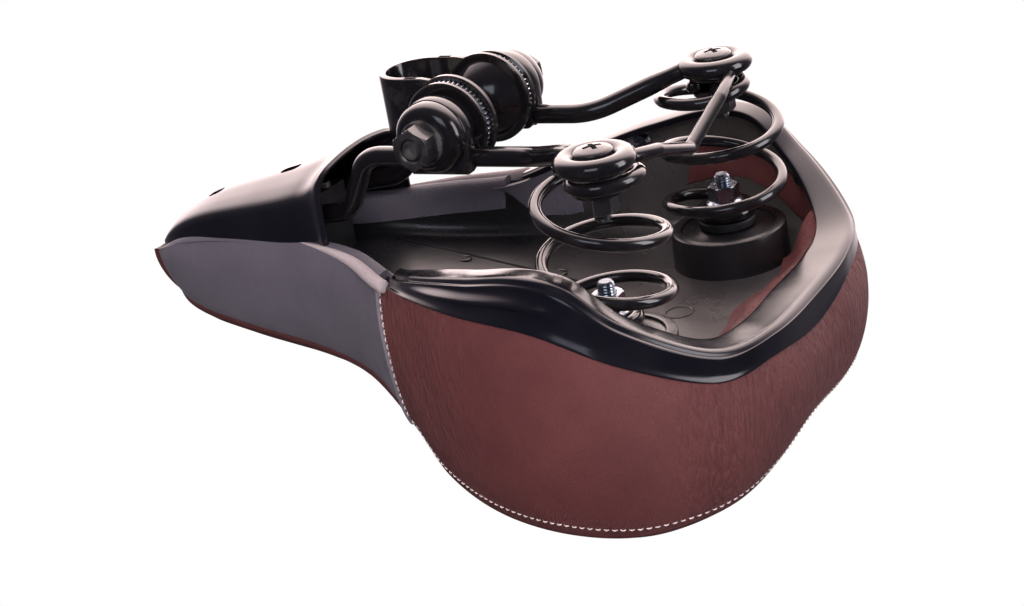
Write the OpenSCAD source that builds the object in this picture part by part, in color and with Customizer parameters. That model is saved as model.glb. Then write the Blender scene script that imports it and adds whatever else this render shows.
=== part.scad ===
// Sprung bicycle saddle with its wire rails and seatpost clamp, in the riding position.
// Origin: centre of the seatpost bore, level with the clamp bolt. +X points to the nose, +Z up.

/* [Seatpost clamp] */
// Radius of the seatpost bore
post_r = 11.1; // [9.5:0.1:12.7]
// Thickness of the strap's sheet steel
strap_t = 2.5; // [2:0.1:3]
// Height of the strap
strap_h = 28; // [24:1:30]
// Distance from the bore's centre back to the clamp bolt
bolt_back = 19.5; // [19:0.5:22]
// Outer radius of the strap's ears
ear_r = 16.5; // [16:0.5:18]
// Radius of the clamp bolt's shank
clamp_bolt_r = 3.95; // [3:0.05:4]

/* [Rails] */
// Diameter of the rail wire
rail_d = 7; // [6:0.1:8]
// Distance from the middle plane to a rail
rail_y = 22; // [21.8:0.1:22.5]
// Height of the rails above the clamp bolt
rail_z = 9.6; // [9:0.1:10]
// Distance from the middle plane to a spring's axis
spring_y = 49.2; // [47:0.1:51]
// Distance from the bore's centre back to the springs
spring_back = 91; // [89:0.5:92]
// Mean radius of a rail eye
eye_r = 10; // [10:0.1:11]

/* [Springs] */
// Mean radius of the wide coils
coil_r = 20.6; // [19:0.1:21]
// Mean radius of the clamped end coils
end_coil_r = 8.4; // [8:0.1:9]
// Diameter of the spring wire
spring_d = 5.2; // [4:0.1:5.2]
// Number of turns that climb from one end coil to the other
climb_turns = 2.15; // [2.1:0.05:2.3]

/* [Seat] */
// Thickness of the moulded pan
pan_t = 3; // [2.5:0.1:3]
// Thickness of the leather covers
cover_t = 1.6; // [1:0.1:1.6]
// Distance that the springs lean forward from the rail eyes to the pan
spring_lean = 3; // [0:0.5:4]
// Radius of the pan's round spring pedestals
pedestal_r = 21; // [20:0.5:23]
// Height of the pedestals' faces above the clamp bolt
pedestal_z = 61.5; // [61.5:0.1:63]

/* [Nose pivot] */
// Distance of the pivot bar in front of the bore
pivot_x = 58; // [57:0.5:60]
// Height of the pivot bar above the clamp bolt
pivot_z = 36; // [35:0.5:37]

/* [Hidden] */
$fn = 48;

rail_r = rail_d / 2;
spring_r = spring_d / 2;
fit_gap = 0.05;
tiny = 0.1;

// Half of the seat's outline, from the middle of the rear to the tip of the nose:
// x, y, height of the pan's rim, height of the covers' lower edge, height of the top seam.
SEAT = [
    [-142, 0, 64, 76, 112],
    [-140.5, 36, 63, 72, 114],
    [-132, 66, 59, 69, 116],
    [-110, 88, 43, 55, 118],
    [-82, 94, 27, 42.5, 118],
    [-52, 87, 30, 41, 117],
    [-24, 71, 37, 43, 113],
    [-4, 56, 42, 45, 102],
    [18, 42, 40, 43, 89],
    [45, 32, 40, 43, 84],
    [80, 25, 41, 44, 80],
    [112, 18, 45, 48, 75],
    [128, 10, 50, 53, 71],
    [133, 0, 53, 56, 68]];
// Height of the crown along the middle, from the rear to the nose
CROWN = [[-80, 120], [-50, 119], [-20, 111], [5, 100], [30, 91], [60, 88], [100, 80]];
// Height of the pan's underside along its length
PAN = [[-150, 75], [-45, 75], [10, 62], [40, 56], [100, 56], [130, 64]];

HALF = len(SEAT) - 1;
LOOP = 2 * HALF;
ring_n = 60;
spine_rear = -80;
spine_front = 100;
// The skirt ends and the nose panels begin at this place along the outline
panel_u = 7.1;
bumper_u = 6.8;
edge_tuck = 3;
widest = 0.35;
cap_g = 0.92;
foam_gap = 0.2;
pan_inset = 8.5;
rim_gap = 3.6;
bumper_t = 3;

// ---- curves and lofts ----

// Mirror image of an outline point
function across(p) = [p[0], -p[1], p[2], p[3], p[4]];

// Outline control point with any whole index, round the closed loop
function control(i) = let (k = (i % LOOP + LOOP) % LOOP)
    k <= HALF ? SEAT[k] : across(SEAT[LOOP - k]);

// Smooth closed curve through the outline points
function outline(u) = let (
        i = floor(u), f = u - i,
        a = control(i - 1), b = control(i), c = control(i + 1), d = control(i + 2))
    0.5 * (2 * b + (c - a) * f + (2 * a - 5 * b + 4 * c - d) * f * f
    + (3 * b - a - 3 * c + d) * f * f * f);

// Smooth step from 0 to 1
function ramp(x) = let (t = max(0, min(1, x))) t * t * (3 - 2 * t);

// Nearest point of the seat's middle line
function spine(q) = [max(min(q[0], spine_front), spine_rear), 0];
function reach(q) = norm(spine(q) - [q[0], q[1]]);

// Plan position a given distance in from the outline, towards the middle line
function inward(q, inset) = [q[0], q[1]] + (spine(q) - [q[0], q[1]]) * inset / reach(q);

// Side wall of the cushion: s runs from 0 at the lower edge to 1 at the top seam
function flank(u, s, off) = let (
        q = outline(u),
        shoulder = 2 + 0.17 * reach(q),
        tuck = max(0, 1 - s / widest),
        t = max(0, s - widest) / 0.7,
        lean = 3.2 * s * (1 - ramp((min(abs(u), LOOP - abs(u)) - 0.3) / 2.2)),
        p = inward(q, off + edge_tuck * tuck * tuck + shoulder * (1 - sqrt(1 - t * t)) + lean))
    [p[0], p[1], q[3] + (q[4] - q[3]) * s - 0.8 * off * pow(s, 4)];

// Top of the cushion: g runs from 0 at the seam to 1 at the middle line
function crown(u, g, off) = let (
        q = outline(u),
        seam = flank(u, 1, off),
        c = spine(q),
        bulge = 0.1 * reach(q) * sin(180 * g))
    [seam[0] + (c[0] - seam[0]) * g, c[1] + seam[1] * (1 - g),
    seam[2] + (lookup(c[0], CROWN) - off - seam[2]) * g + bulge];

function pan_z(x) = lookup(x, PAN);

// Places along the outline; a half step keeps them off the middle plane
RING = [for (i = [0:ring_n - 1]) (i + 0.5) * LOOP / ring_n];

// Closed loops of equal length joined side to side, with both ends closed
module loft(loops) {
    m = len(loops[0]);
    last = (len(loops) - 1) * m;
    sides = [for (k = [0:len(loops) - 2]) for (i = [0:m - 1])
        let (j = (i + 1) % m) each [
            [k * m + i, (k + 1) * m + j, (k + 1) * m + i],
            [k * m + i, k * m + j, (k + 1) * m + j]]];
    ends = [for (i = [0:m / 2 - 2]) each [
        [i, m - 2 - i, i + 1], [i, m - 1 - i, m - 2 - i],
        [last + i, last + i + 1, last + m - 2 - i],
        [last + i, last + m - 2 - i, last + m - 1 - i]]];
    polyhedron(points = [for (l = loops) each l], faces = concat(sides, ends), convexity = 10);
}

// Sheet between two matching rows of points, as one closed loop
function sheet_loop(outer, inner) = concat(outer, [for (i = [len(inner) - 1:-1:0]) inner[i]]);

// Section of a cover's side wall at one place along the outline
function wall_loop(u) = let (levels = [0.02, 0.18, 0.35, 0.6, 0.8, 1])
    sheet_loop([for (s = levels) flank(u, s, 0)], [for (s = levels) flank(u, s, cover_t)]);

module mirrored_pair() {
    children();
    mirror([0, 1, 0]) children();
}

// Cylinder lying along Y, from one y to another
module along_y(r, y0, y1) {
    translate([0, y0, 0]) rotate([-90, 0, 0]) cylinder(r = r, h = y1 - y0);
}

// Hexagon bar along Z with flats a given distance apart
module hex_bar(flats, h) {
    cylinder(d = flats / cos(30), h = h, $fn = 6);
}

// ---- bent wire ----

function unit(v) = v / norm(v);

// Turn that brings +Z onto a direction
module aim(d) {
    rotate([0, acos(d[2] / norm(d)), atan2(d[1], d[0])]) children();
}

// Rounded corner at b between a and c, as places with their directions
function corner(a, b, c, radius, steps) = let (
        u = unit(b - a),
        v = unit(c - b),
        bend = acos(u * v),
        w = unit(v - u * (u * v)),
        centre = b - u * radius * tan(bend / 2) + w * radius)
    [for (k = [0:steps]) let (e = bend * k / steps)
        [centre + radius * (u * sin(e) - w * cos(e)), u * cos(e) + w * sin(e)]];

// Round wire through corner points; each corner is rounded with its own radius
module wire(points, radii, r, sides = 16) {
    n = len(points) - 1;
    path = concat(
        [[points[0], unit(points[1] - points[0])]],
        [for (i = [1:n - 1])
            each corner(points[i - 1], points[i], points[i + 1], radii[i], 7)],
        [[points[n], unit(points[n] - points[n - 1])]]);
    loft([for (p = path) let (side = unit(cross(p[1], [0, 0, 1])), up = cross(side, p[1]))
        [for (k = [0:sides - 1]) let (a = 360 * k / sides)
            p[0] + r * (side * cos(a) + up * sin(a))]]);
}

// ---- seat ----

module base_shell() {
    color([0.1, 0.09, 0.09])
    difference() {
        union() {
            loft([
                [for (u = RING) let (q = outline(u), p = inward(q, reach(q) * cap_g))
                    [p[0], p[1], pan_z(p[0])]],
                [for (u = RING) let (p = inward(outline(u), pan_inset + pan_t))
                    [p[0], p[1], pan_z(p[0])]],
                [for (u = RING) let (q = outline(u), p = inward(q, pan_inset + pan_t))
                    [p[0], p[1], q[2] + rim_gap]],
                [for (u = RING) let (q = outline(u), p = inward(q, pan_inset))
                    [p[0], p[1], q[2] + rim_gap]],
                [for (u = RING) let (p = inward(outline(u), pan_inset))
                    [p[0], p[1], pan_z(p[0]) + pan_t]],
                [for (u = RING) let (q = outline(u), p = inward(q, reach(q) * cap_g))
                    [p[0], p[1], pan_z(p[0]) + pan_t]]]);
            at_pedestals() translate([0, 0, pedestal_z])
                cylinder(r = pedestal_r, h = pan_z(-spring_back) - pedestal_z + 1);
        }
        at_pedestals() translate([0, 0, pedestal_z - 1]) cylinder(r = screw_r + fit_gap, h = 30);
    }
}

module foam_pad() {
    off = cover_t + foam_gap;
    floor_up = pan_t + tiny;
    color([0.85, 0.78, 0.55])
    loft(concat(
        [[for (u = RING) let (q = outline(u), p = inward(q, reach(q) * cap_g))
            [p[0], p[1], pan_z(p[0]) + floor_up]],
        [for (u = RING) let (p = inward(outline(u), pan_inset - foam_gap))
            [p[0], p[1], pan_z(p[0]) + floor_up]],
        [for (u = RING) let (q = outline(u), p = inward(q, pan_inset - foam_gap))
            [p[0], p[1], q[3] + 2]]],
        [for (s = [0.05, 0.35, 0.6, 0.8, 1]) [for (u = RING) flank(u, s, off)]],
        [for (g = [0.2, 0.45, 0.7, cap_g]) [for (u = RING) crown(u, g, off)]]));
}

module top_cover() {
    levels = [0.01, 0.2, 0.45, 0.7, cap_g];
    color([0.2, 0.11, 0.09])
    loft(concat(
        [for (i = [len(levels) - 1:-1:0]) [for (u = RING) crown(u, levels[i], cover_t)]],
        [for (g = levels) [for (u = RING) crown(u, g, 0)]]));
}

module rear_skirt() {
    steps = 44;
    color([0.42, 0.2, 0.17])
    loft([for (i = [0:steps]) wall_loop(panel_u - 2 * panel_u * i / steps)]);
}

// Grey side of the nose, on the left when side is 1 and on the right when it is -1
module nose_panel(side) {
    steps = 16;
    u0 = panel_u + 0.06;
    u1 = HALF - 0.02;
    color([0.3, 0.28, 0.3])
    loft([for (i = [0:steps])
        let (k = side > 0 ? steps - i : i) wall_loop(side * (u0 + (u1 - u0) * k / steps))]);
}

module seam_beads() {
    bead_r = 1.2;
    color([0.6, 0.57, 0.58])
    for (side = [-1, 1])
        loft([for (s = [0:0.1:1]) let (p = flank(side * (panel_u + 0.03), s, -bead_r - tiny))
            [for (a = [0:45:315]) [p[0] + bead_r * cos(a), p[1] - bead_r * sin(a), p[2]]]]);
}

// Section of the bumper: a flange turned in at the rim and a wall up to the skirt.
// The rim sits in from the cushion at the sides and nearly flush with it at the rear.
function bumper_loop(u) = let (
        q = outline(u),
        away = max(0, abs(u) - 5.5) / (bumper_u - 5.5),
        rim = 3 + 5 * ramp((abs(u) - 1.2) / 2),
        wall = rim / 2 + 1.5,
        flange = 18 - 4 * away,
        z0 = q[2] - 2.6 * exp(-pow((abs(u) - 3.55) / 0.34, 2)),
        mid = (z0 + q[3]) / 2,
        lift = min(3, q[3] - z0 - 1.5),
        outer = [[flange, z0 + 1], [rim + 3, z0], [rim + 1, z0 + 0.4],
            [rim - 0.3, z0 + 2], [wall - 0.5, mid], [edge_tuck, q[3]]],
        inner = [[flange, z0 + lift], [rim + 4.6, z0 + lift], [rim + 3.6, z0 + lift + 0.2],
            [rim + 2.8, z0 + lift + 0.6], [wall + 2.4, mid + 0.8],
            [edge_tuck + bumper_t, q[3]]])
    [for (e = sheet_loop(outer, inner)) let (p = inward(q, e[0])) [p[0], p[1], e[1]]];

module rear_bumper() {
    steps = 44;
    color([0.03, 0.03, 0.035])
    loft([for (i = [0:steps]) bumper_loop(bumper_u - 2 * bumper_u * i / steps)]);
}

// Places along the outline where screws hold the bumper to the pan
SCREW_U = [-5.2, -2.9, -1.2, 1.2, 2.9, 5.2];

module bumper_screws() {
    color([0.7, 0.7, 0.72])
    for (u = SCREW_U) {
        q = outline(u);
        p = inward(q, 5);
        d = spine(q) - [q[0], q[1]];
        translate([p[0], p[1], (q[2] + q[3]) / 2 + 2.5])
            aim([d[0], d[1], 0]) {
                cylinder(r = 1.8, h = 7);
                difference() {
                    translate([0, 0, 6.6]) cylinder(r1 = 4, r2 = 3.2, h = 2.2);
                    for (a = [0, 90]) rotate([0, 0, a]) translate([-2, -0.5, 8]) cube([4, 1, 2]);
                }
            }
    }
}

// Nose cover stations: x, half width at the edge, height of the edge, height of the lowest line
NOSE = [[33, 29, 42, 13.5], [45, 27, 42, 17], [60, 25, 42.5, 21.5], [78, 22, 43.5, 26],
    [95, 18.5, 45.5, 30.5], [107, 15, 47.5, 35], [116, 11.5, 49.5, 40], [123, 8, 51.5, 45.5],
    [128, 4.5, 53, 50.5]];

// Half of the nose cover's section behind its mouth and at its mouth, from the middle to the
// edge: shares of the half width and of the depth
COVER = [[0, 1], [0.2, 0.975], [0.42, 0.91], [0.65, 0.82], [0.85, 0.7], [0.95, 0.55], [0.985, 0.33], [1, 0]];
MOUTH = [[0, 1], [0.2, 0.995], [0.45, 0.97], [0.72, 0.92], [0.9, 0.83], [0.97, 0.66], [0.99, 0.4], [1, 0]];

// Box-like section of the nose cover with upright sides and a low crowned floor
function nose_side(n, t, k) = let (
        open = max(0, 1 - (n[0] - NOSE[0][0]) / 14),
        e = COVER[abs(k)] * (1 - open) + MOUTH[abs(k)] * open)
    [n[0], (n[1] - t) * e[0] * sign(k), n[2] - (n[2] - n[3] - t) * e[1]];

module nose_cover() {
    wall = 2.2;
    reach_k = len(COVER) - 1;
    color([0.04, 0.04, 0.045])
    difference() {
        loft([for (n = NOSE) sheet_loop([for (k = [reach_k:-1:-reach_k]) nose_side(n, 0, k)],
            [for (k = [reach_k:-1:-reach_k]) nose_side(n, wall, k)])]);
        for (slot = [[62, 22, 9], [99, 32, 7]])
            translate([slot[0] - slot[2] / 2, -1.6, slot[1] - 8]) cube([slot[2], 3.2, 16]);
    }
}

block_x = 22;
block_y = 17;
screw_dx = 7.5;

module nose_screw_holes(r) {
    for (s = [-1, 1])
        translate([pivot_x + s * screw_dx, 0, pivot_z - 12]) cylinder(r = r, h = 26);
}

module pivot_hole() {
    translate([pivot_x, 0, pivot_z]) along_y(journal_r + fit_gap, -block_y, block_y);
}

module nose_block() {
    top = pan_z(pivot_x) - tiny;
    color([0.13, 0.13, 0.14])
    difference() {
        translate([pivot_x - block_x / 2, -block_y / 2, pivot_z])
            cube([block_x, block_y, top - pivot_z]);
        pivot_hole();
        nose_screw_holes(1.55);
    }
}

module nose_clip() {
    clip_t = 6;
    color([0.16, 0.16, 0.17])
    difference() {
        translate([pivot_x - block_x / 2, -block_y / 2, pivot_z - clip_t])
            cube([block_x, block_y, clip_t - tiny]);
        pivot_hole();
        nose_screw_holes(1.55);
    }
}

module nose_screws() {
    color([0.7, 0.7, 0.72])
    for (s = [-1, 1])
        translate([pivot_x + s * screw_dx, 0, pivot_z]) {
            translate([0, 0, -7]) cylinder(r = 1.5, h = 19);
            translate([0, 0, -8.2]) cylinder(r = 3, h = 2.1);
        }
}

// Turned-in rear edge of the cover, which runs from under the bumper's flange to the pan's floor
function flap_loop(u) = let (
        q = outline(u),
        t = 1.2,
        roof = pan_z(-140) - tiny,
        outer = [[13, q[2] + 5.4], [18, q[2] + 6.4], [24, roof - 2.2], [28, roof]],
        inner = [for (e = outer) [e[0] + t / 3, e[1] - t]])
    [for (e = sheet_loop(outer, inner)) let (p = inward(q, e[0])) [p[0], p[1], e[1]]];

module cover_flap() {
    flap_u = 2.3;
    steps = 14;
    color([0.45, 0.21, 0.17])
    loft([for (i = [0:steps]) let (u = flap_u - 2 * flap_u * i / steps) flap_loop(u)]);
}

module cover_staples() {
    count = 7;
    color([0.78, 0.62, 0.3])
    for (i = [0:count - 1]) {
        q = outline(-1.95 + 3.9 * i / (count - 1));
        p = inward(q, 25.4);
        d = spine(q) - [q[0], q[1]];
        translate([p[0], p[1], pan_z(-140) - 3.3])
            rotate([0, 0, atan2(d[1], d[0])]) translate([-0.5, -4, 0]) cube([1, 8, 0.7]);
    }
}

// ---- spring fastenings ----

screw_r = 3;
base_coil_z = pedestal_z - 5.9;
eye_coil_z = 7.5;

module at_eyes() {
    mirrored_pair() translate([-spring_back, spring_y, 0]) children();
}

module at_pedestals() {
    mirrored_pair() translate([spring_lean - spring_back, spring_y, 0]) children();
}

module base_bolts() {
    color([0.78, 0.78, 0.72])
    at_pedestals() {
        translate([0, 0, 43]) cylinder(r = screw_r, h = 33.5);
        translate([0, 0, 42]) cylinder(r1 = 2.3, r2 = screw_r, h = 1);
    }
}

module base_nuts() {
    color([0.74, 0.77, 0.8])
    at_pedestals() difference() {
        union() {
            translate([0, 0, base_coil_z - spring_r - 6.8]) hex_bar(10, 5.6);
            translate([0, 0, base_coil_z - spring_r - 1.4]) cylinder(r = 7.6, h = 1.3);
        }
        cylinder(r = screw_r + fit_gap, h = 60);
    }
}

module end_discs() {
    color([0.05, 0.05, 0.05])
    at_pedestals() translate([0, 0, base_coil_z + spring_r + tiny]) difference() {
        cylinder(r = 10.5, h = 3);
        translate([0, 0, -1]) cylinder(r = screw_r + fit_gap, h = 6);
    }
}

// ---- rails and springs ----

eye_z = 0.5;
eye_t = 5.8;
rail_rear = [-54, rail_y, rail_z];
EYE = [-spring_back, spring_y, eye_z];
eye_join = EYE + unit([rail_rear[0] - EYE[0], rail_rear[1] - EYE[1], 0]) * eye_r;
rail_front = [14, rail_y, rail_z];
nose_bend = [27, 18.6, 32];
bar_corner = [pivot_x, 16, pivot_z];
journal_r = rail_r + 0.1;
journal_y = 10.2;

module rail_frame() {
    color([0.04, 0.035, 0.035]) {
        mirrored_pair() {
            wire([eye_join, rail_rear, rail_front, nose_bend, bar_corner, [pivot_x, 9, pivot_z]],
                [0, 22, 12, 12, 7, 0], rail_r);
            translate(EYE) rotate_extrude() translate([eye_r, 0]) intersection() {
                circle(r = 3.7);
                square([8, eye_t], center = true);
            }
        }
        translate([pivot_x, 0, pivot_z]) along_y(journal_r, -journal_y, journal_y);
    }
}

module cross_brace() {
    brace_r = 2.3;
    color([0.04, 0.035, 0.035])
    wire([[-100, 40.5, 2.5], [-102, 26, 5.5], [-101, 0, 14.5], [-102, -26, 5.5],
        [-100, -40.5, 2.5]], [0, 6, 4, 6, 0], brace_r);
}

// Height and radius of the spring's wire after a number of turns from the rail eye
wind_turns = 0.95;
full_turns = wind_turns + climb_turns;
all_turns = full_turns + 1.15;
coil_lean = 2.4;
function coil_z(n) = lookup(n, [[wind_turns - 0.22, eye_coil_z], [wind_turns, eye_coil_z + 3.1],
    [full_turns, base_coil_z - 2], [full_turns + 0.32, base_coil_z]]);
function coil_share(n) = min(ramp((n - wind_turns + 0.45) / 0.5),
    ramp((full_turns + 0.34 - n) / 0.38));
// Middle of the wire's turn and its height, which leans down towards the rear of the saddle
function coil_centre(n, a) = let (z = coil_z(n))
    [spring_lean * (z - eye_coil_z) / (base_coil_z - eye_coil_z), 0,
    z - coil_lean * pow(coil_share(n), 2) * cos(a)];

// hand is 1 for the left spring and -1 for the right one
module spring(hand) {
    rings = 82;
    start = -43;
    color([0.04, 0.035, 0.035])
    translate([-spring_back, hand * spring_y, 0])
    loft([for (i = [0:rings])
        let (
            n = all_turns * i / rings,
            a = start + 360 * n,
            radius = end_coil_r + (coil_r - end_coil_r) * coil_share(n),
            out = [cos(a), hand * sin(a), 0],
            up = [0, 0, hand])
        [for (k = [0:45:315])
            out * (radius + spring_r * cos(k)) + up * spring_r * sin(k) + coil_centre(n, a)]]);
}

module eye_bushes() {
    color([0.06, 0.055, 0.055])
    at_eyes() difference() {
        translate([0, 0, -2.1]) cylinder(r = eye_r - 3.8, h = 6.8);
        translate([0, 0, -3]) cylinder(r = screw_r + fit_gap, h = 10);
    }
}

module eye_screws() {
    head = 2.5;
    seat = -2.2;
    color([0.04, 0.04, 0.04])
    at_eyes() {
        translate([0, 0, seat]) cylinder(r = screw_r, h = 23);
        difference() {
            translate([0, 0, seat - head]) cylinder(r1 = 5.8, r2 = 7, h = head);
            for (a = [45, 135])
                rotate([0, 0, a]) translate([-3.4, -0.7, seat - head - 1]) cube([6.8, 1.4, 2.6]);
        }
    }
}

module eye_washers() {
    color([0.06, 0.055, 0.055])
    at_eyes() translate([0, 0, eye_coil_z + spring_r + tiny]) difference() {
        cylinder(r = end_coil_r + 0.4, h = 1.6);
        translate([0, 0, -1]) cylinder(r = screw_r + fit_gap, h = 4);
    }
}

module eye_nuts() {
    color([0.04, 0.04, 0.04])
    at_eyes() translate([0, 0, eye_coil_z + spring_r + 1.8]) difference() {
        hex_bar(10, 6);
        translate([0, 0, -1]) cylinder(r = screw_r + fit_gap, h = 8);
    }
}

// ---- clamp ----

strap_drop = 1.5;

disc_y = post_r + strap_t + 0.2;
plate_y = disc_y + 2.9;
cap_y = rail_y + 0.4;
cap_out = cap_y + 12.2;

module at_bolt() {
    translate([-bolt_back, 0, 0]) children();
}

module rail_groove(y) {
    translate([-50, y, rail_z]) rotate([0, 90, 0]) cylinder(r = rail_r + fit_gap, h = 100);
}

// Profile of an ear's pressed cup, turned about the bolt
function cup_y(r) = 2.5 + (post_r - 2.5) * pow(r / 13.5, 2.5);
cup_radii = [0, 2, 4, 6, 8, 10, 12, 13.5];

module ear() {
    at_bolt() rotate([-90, 0, 0]) rotate_extrude()
        polygon(concat(
            [for (r = cup_radii) [r, cup_y(r)]],
            [[ear_r, post_r], [ear_r, post_r + strap_t]],
            [for (i = [len(cup_radii) - 1:-1:0]) let (r = cup_radii[i])
                [r * 0.93, cup_y(r) + strap_t]]));
}

module post_strap() {
    low = -strap_h / 2 - strap_drop;
    color([0.05, 0.045, 0.045])
    difference() {
        union() {
            difference() {
                translate([0, 0, low]) cylinder(r = post_r + strap_t, h = strap_h);
                translate([-60, -30, -20]) cube([60, 60, 40]);
            }
            mirrored_pair() {
                difference() {
                    translate([-bolt_back, post_r, low]) cube([bolt_back, strap_t, strap_h]);
                    at_bolt() along_y(13.5, 5, 20);
                }
                ear();
            }
        }
        translate([0, 0, -30]) cylinder(r = post_r, h = 60);
        at_bolt() along_y(clamp_bolt_r + fit_gap, -20, 20);
    }
}

// hand is 1 for the left side and -1 for the right
module on_side(hand) {
    mirror([0, hand > 0 ? 0 : 1, 0]) children();
}

module serrated_disc(hand) {
    teeth = 40;
    color([0.62, 0.63, 0.68])
    on_side(hand) at_bolt() difference() {
        translate([0, disc_y + 2.7, 0]) rotate([90, 0, 0]) linear_extrude(2.7)
            polygon([for (i = [0:2 * teeth - 1]) let (r = i % 2 == 0 ? 15.2 : 14.4)
                [r * cos(180 * i / teeth), r * sin(180 * i / teeth)]]);
        along_y(clamp_bolt_r + fit_gap, 5, 30);
    }
}

module inner_plate(hand) {
    color([0.05, 0.045, 0.045])
    on_side(hand) difference() {
        union() {
            at_bolt() along_y(15.6, plate_y, plate_y + 2.4);
            at_bolt() along_y(7, plate_y, cap_y - 0.8);
            translate([-bolt_back - 13, plate_y, 3]) cube([26, cap_y - 0.8 - plate_y, 10.6]);
        }
        at_bolt() along_y(clamp_bolt_r + fit_gap, 5, 40);
        rail_groove(rail_y);
    }
}

module outer_cap(hand) {
    color([0.07, 0.06, 0.065])
    on_side(hand) difference() {
        union() {
            at_bolt() along_y(13, cap_y, cap_y + 5.6);
            at_bolt() translate([0, cap_y + 5.6, 0]) rotate([-90, 0, 0])
                cylinder(r1 = 12, r2 = 9.5, h = cap_out - cap_y - 5.6);
            translate([-bolt_back - 12.6, cap_y, 0]) cube([25.2, 5.6, 14.5]);
        }
        at_bolt() along_y(clamp_bolt_r + fit_gap, 5, 60);
        rail_groove(rail_y);
    }
}

module clamp_bolt() {
    color([0.05, 0.05, 0.05])
    at_bolt() {
        along_y(clamp_bolt_r, -cap_out - 9, cap_out + 2);
        translate([0, cap_out + 1.8, 0]) rotate([-90, 0, 0]) hex_bar(13, 5.5);
    }
}

module clamp_nut() {
    color([0.05, 0.05, 0.05])
    at_bolt() difference() {
        translate([0, -cap_out - 1.8, 0]) rotate([90, 0, 0]) hex_bar(13, 7);
        along_y(clamp_bolt_r + fit_gap, -60, 0);
    }
}

module clamp_washers() {
    color([0.06, 0.06, 0.06])
    mirrored_pair() at_bolt() difference() {
        along_y(8, cap_out + 0.1, cap_out + 1.7);
        along_y(clamp_bolt_r + fit_gap, 5, 60);
    }
}

base_shell();
foam_pad();
top_cover();
rear_skirt();
nose_panel(1);  // nose_panel_left
nose_panel(-1);  // nose_panel_right
seam_beads();
rear_bumper();
bumper_screws();
nose_cover();
nose_block();
nose_clip();
nose_screws();
cover_flap();
cover_staples();
base_bolts();
base_nuts();
end_discs();
rail_frame();
cross_brace();
spring(1);  // spring_left
spring(-1);  // spring_right
eye_bushes();
eye_screws();
eye_washers();
eye_nuts();
inner_plate(1);  // inner_plate_left
inner_plate(-1);  // inner_plate_right
serrated_disc(1);  // serrated_disc_left
serrated_disc(-1);  // serrated_disc_right
outer_cap(1);  // outer_cap_left
outer_cap(-1);  // outer_cap_right
post_strap();
clamp_bolt();
clamp_nut();
clamp_washers();
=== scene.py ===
"""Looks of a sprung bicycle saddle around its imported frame. Shapes are worked out in millimetres."""
import math

import bmesh
import bpy
import numpy as np
from mathutils import Matrix, Vector, kdtree, noise


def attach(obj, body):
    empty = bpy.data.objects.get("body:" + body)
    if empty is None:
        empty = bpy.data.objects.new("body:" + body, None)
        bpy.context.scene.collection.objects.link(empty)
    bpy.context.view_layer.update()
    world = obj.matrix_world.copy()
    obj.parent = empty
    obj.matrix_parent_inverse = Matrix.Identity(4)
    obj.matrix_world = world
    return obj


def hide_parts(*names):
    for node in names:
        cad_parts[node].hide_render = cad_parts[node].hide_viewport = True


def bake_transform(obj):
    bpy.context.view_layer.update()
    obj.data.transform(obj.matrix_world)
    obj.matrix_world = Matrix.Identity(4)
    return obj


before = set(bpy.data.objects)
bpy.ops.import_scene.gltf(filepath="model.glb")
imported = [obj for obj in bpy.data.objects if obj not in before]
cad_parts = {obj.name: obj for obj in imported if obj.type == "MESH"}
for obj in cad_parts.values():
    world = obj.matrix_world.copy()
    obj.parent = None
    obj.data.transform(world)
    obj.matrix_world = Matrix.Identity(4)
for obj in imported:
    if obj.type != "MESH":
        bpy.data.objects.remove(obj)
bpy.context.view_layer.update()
MM = 0.001
HAND = {1: "left", -1: "right"}

# ---- the saddle's shape, as in the CAD source ----

# Half of the outline from the rear to the nose: x, y, rim height, covers' lower edge, top seam
SEAT = np.array([
    [-142, 0, 64, 76, 112], [-140.5, 36, 63, 72, 114], [-132, 66, 59, 69, 116],
    [-110, 88, 43, 55, 118], [-82, 94, 27, 42.5, 118], [-52, 87, 30, 41, 117],
    [-24, 71, 37, 43, 113], [-4, 56, 42, 45, 102], [18, 42, 40, 43, 89],
    [45, 32, 40, 43, 84], [80, 25, 41, 44, 80], [112, 18, 45, 48, 75],
    [128, 10, 50, 53, 71], [133, 0, 53, 56, 68]], float)
# Height of the top along its middle, and of the pan's underside: x, z
CROWN = np.array([[-80, 120], [-50, 119], [-20, 111], [5, 100], [30, 91], [60, 88], [100, 80]], float)
PAN = np.array([[-150, 75], [-45, 75], [10, 62], [40, 56], [100, 56], [130, 64]], float)
# Nose cover at stations along X: x, half width, rim height, height of its lowest line
NOSE = np.array([
    [33, 29, 42, 13.5], [45, 27, 42, 17], [60, 25, 42.5, 21.5], [78, 22, 43.5, 26],
    [95, 18.5, 45.5, 30.5], [107, 15, 47.5, 35], [116, 11.5, 49.5, 40], [123, 8, 51.5, 45.5],
    [128, 4.5, 53, 50.5]], float)
HALF = len(SEAT) - 1
LOOP = 2 * HALF
CONTROL = np.vstack([SEAT, SEAT[-2:0:-1] * [1, -1, 1, 1, 1]])
SPINE_REAR, SPINE_FRONT = -80, 100
PANEL_U, BUMPER_U, DIP_U = 7.1, 6.8, 3.55
EDGE_TUCK, WIDEST = 3, 0.35
REAR_LEAN, TIP_LEAN = 3.2, 4.5
COVER_T = 1.6
PAN_INSET, PAN_T, RIM_GAP, PAN_FILLET = 8.5, 3, 3.6, 5.0
PAN_WALL = PAN_INSET + PAN_T
SPRING_BACK, SPRING_Y, SPRING_LEAN = 91, 49.2, 3
RAIL_Y, RAIL_Z, RAIL_R = 22, 9.6, 3.5
RAIL_REAR, RAIL_FRONT = -54.0, 14
EYE_R, EYE_Z = 10, 0.5
PEDESTAL_R, PEDESTAL_Z = 21, 61.5
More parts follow.
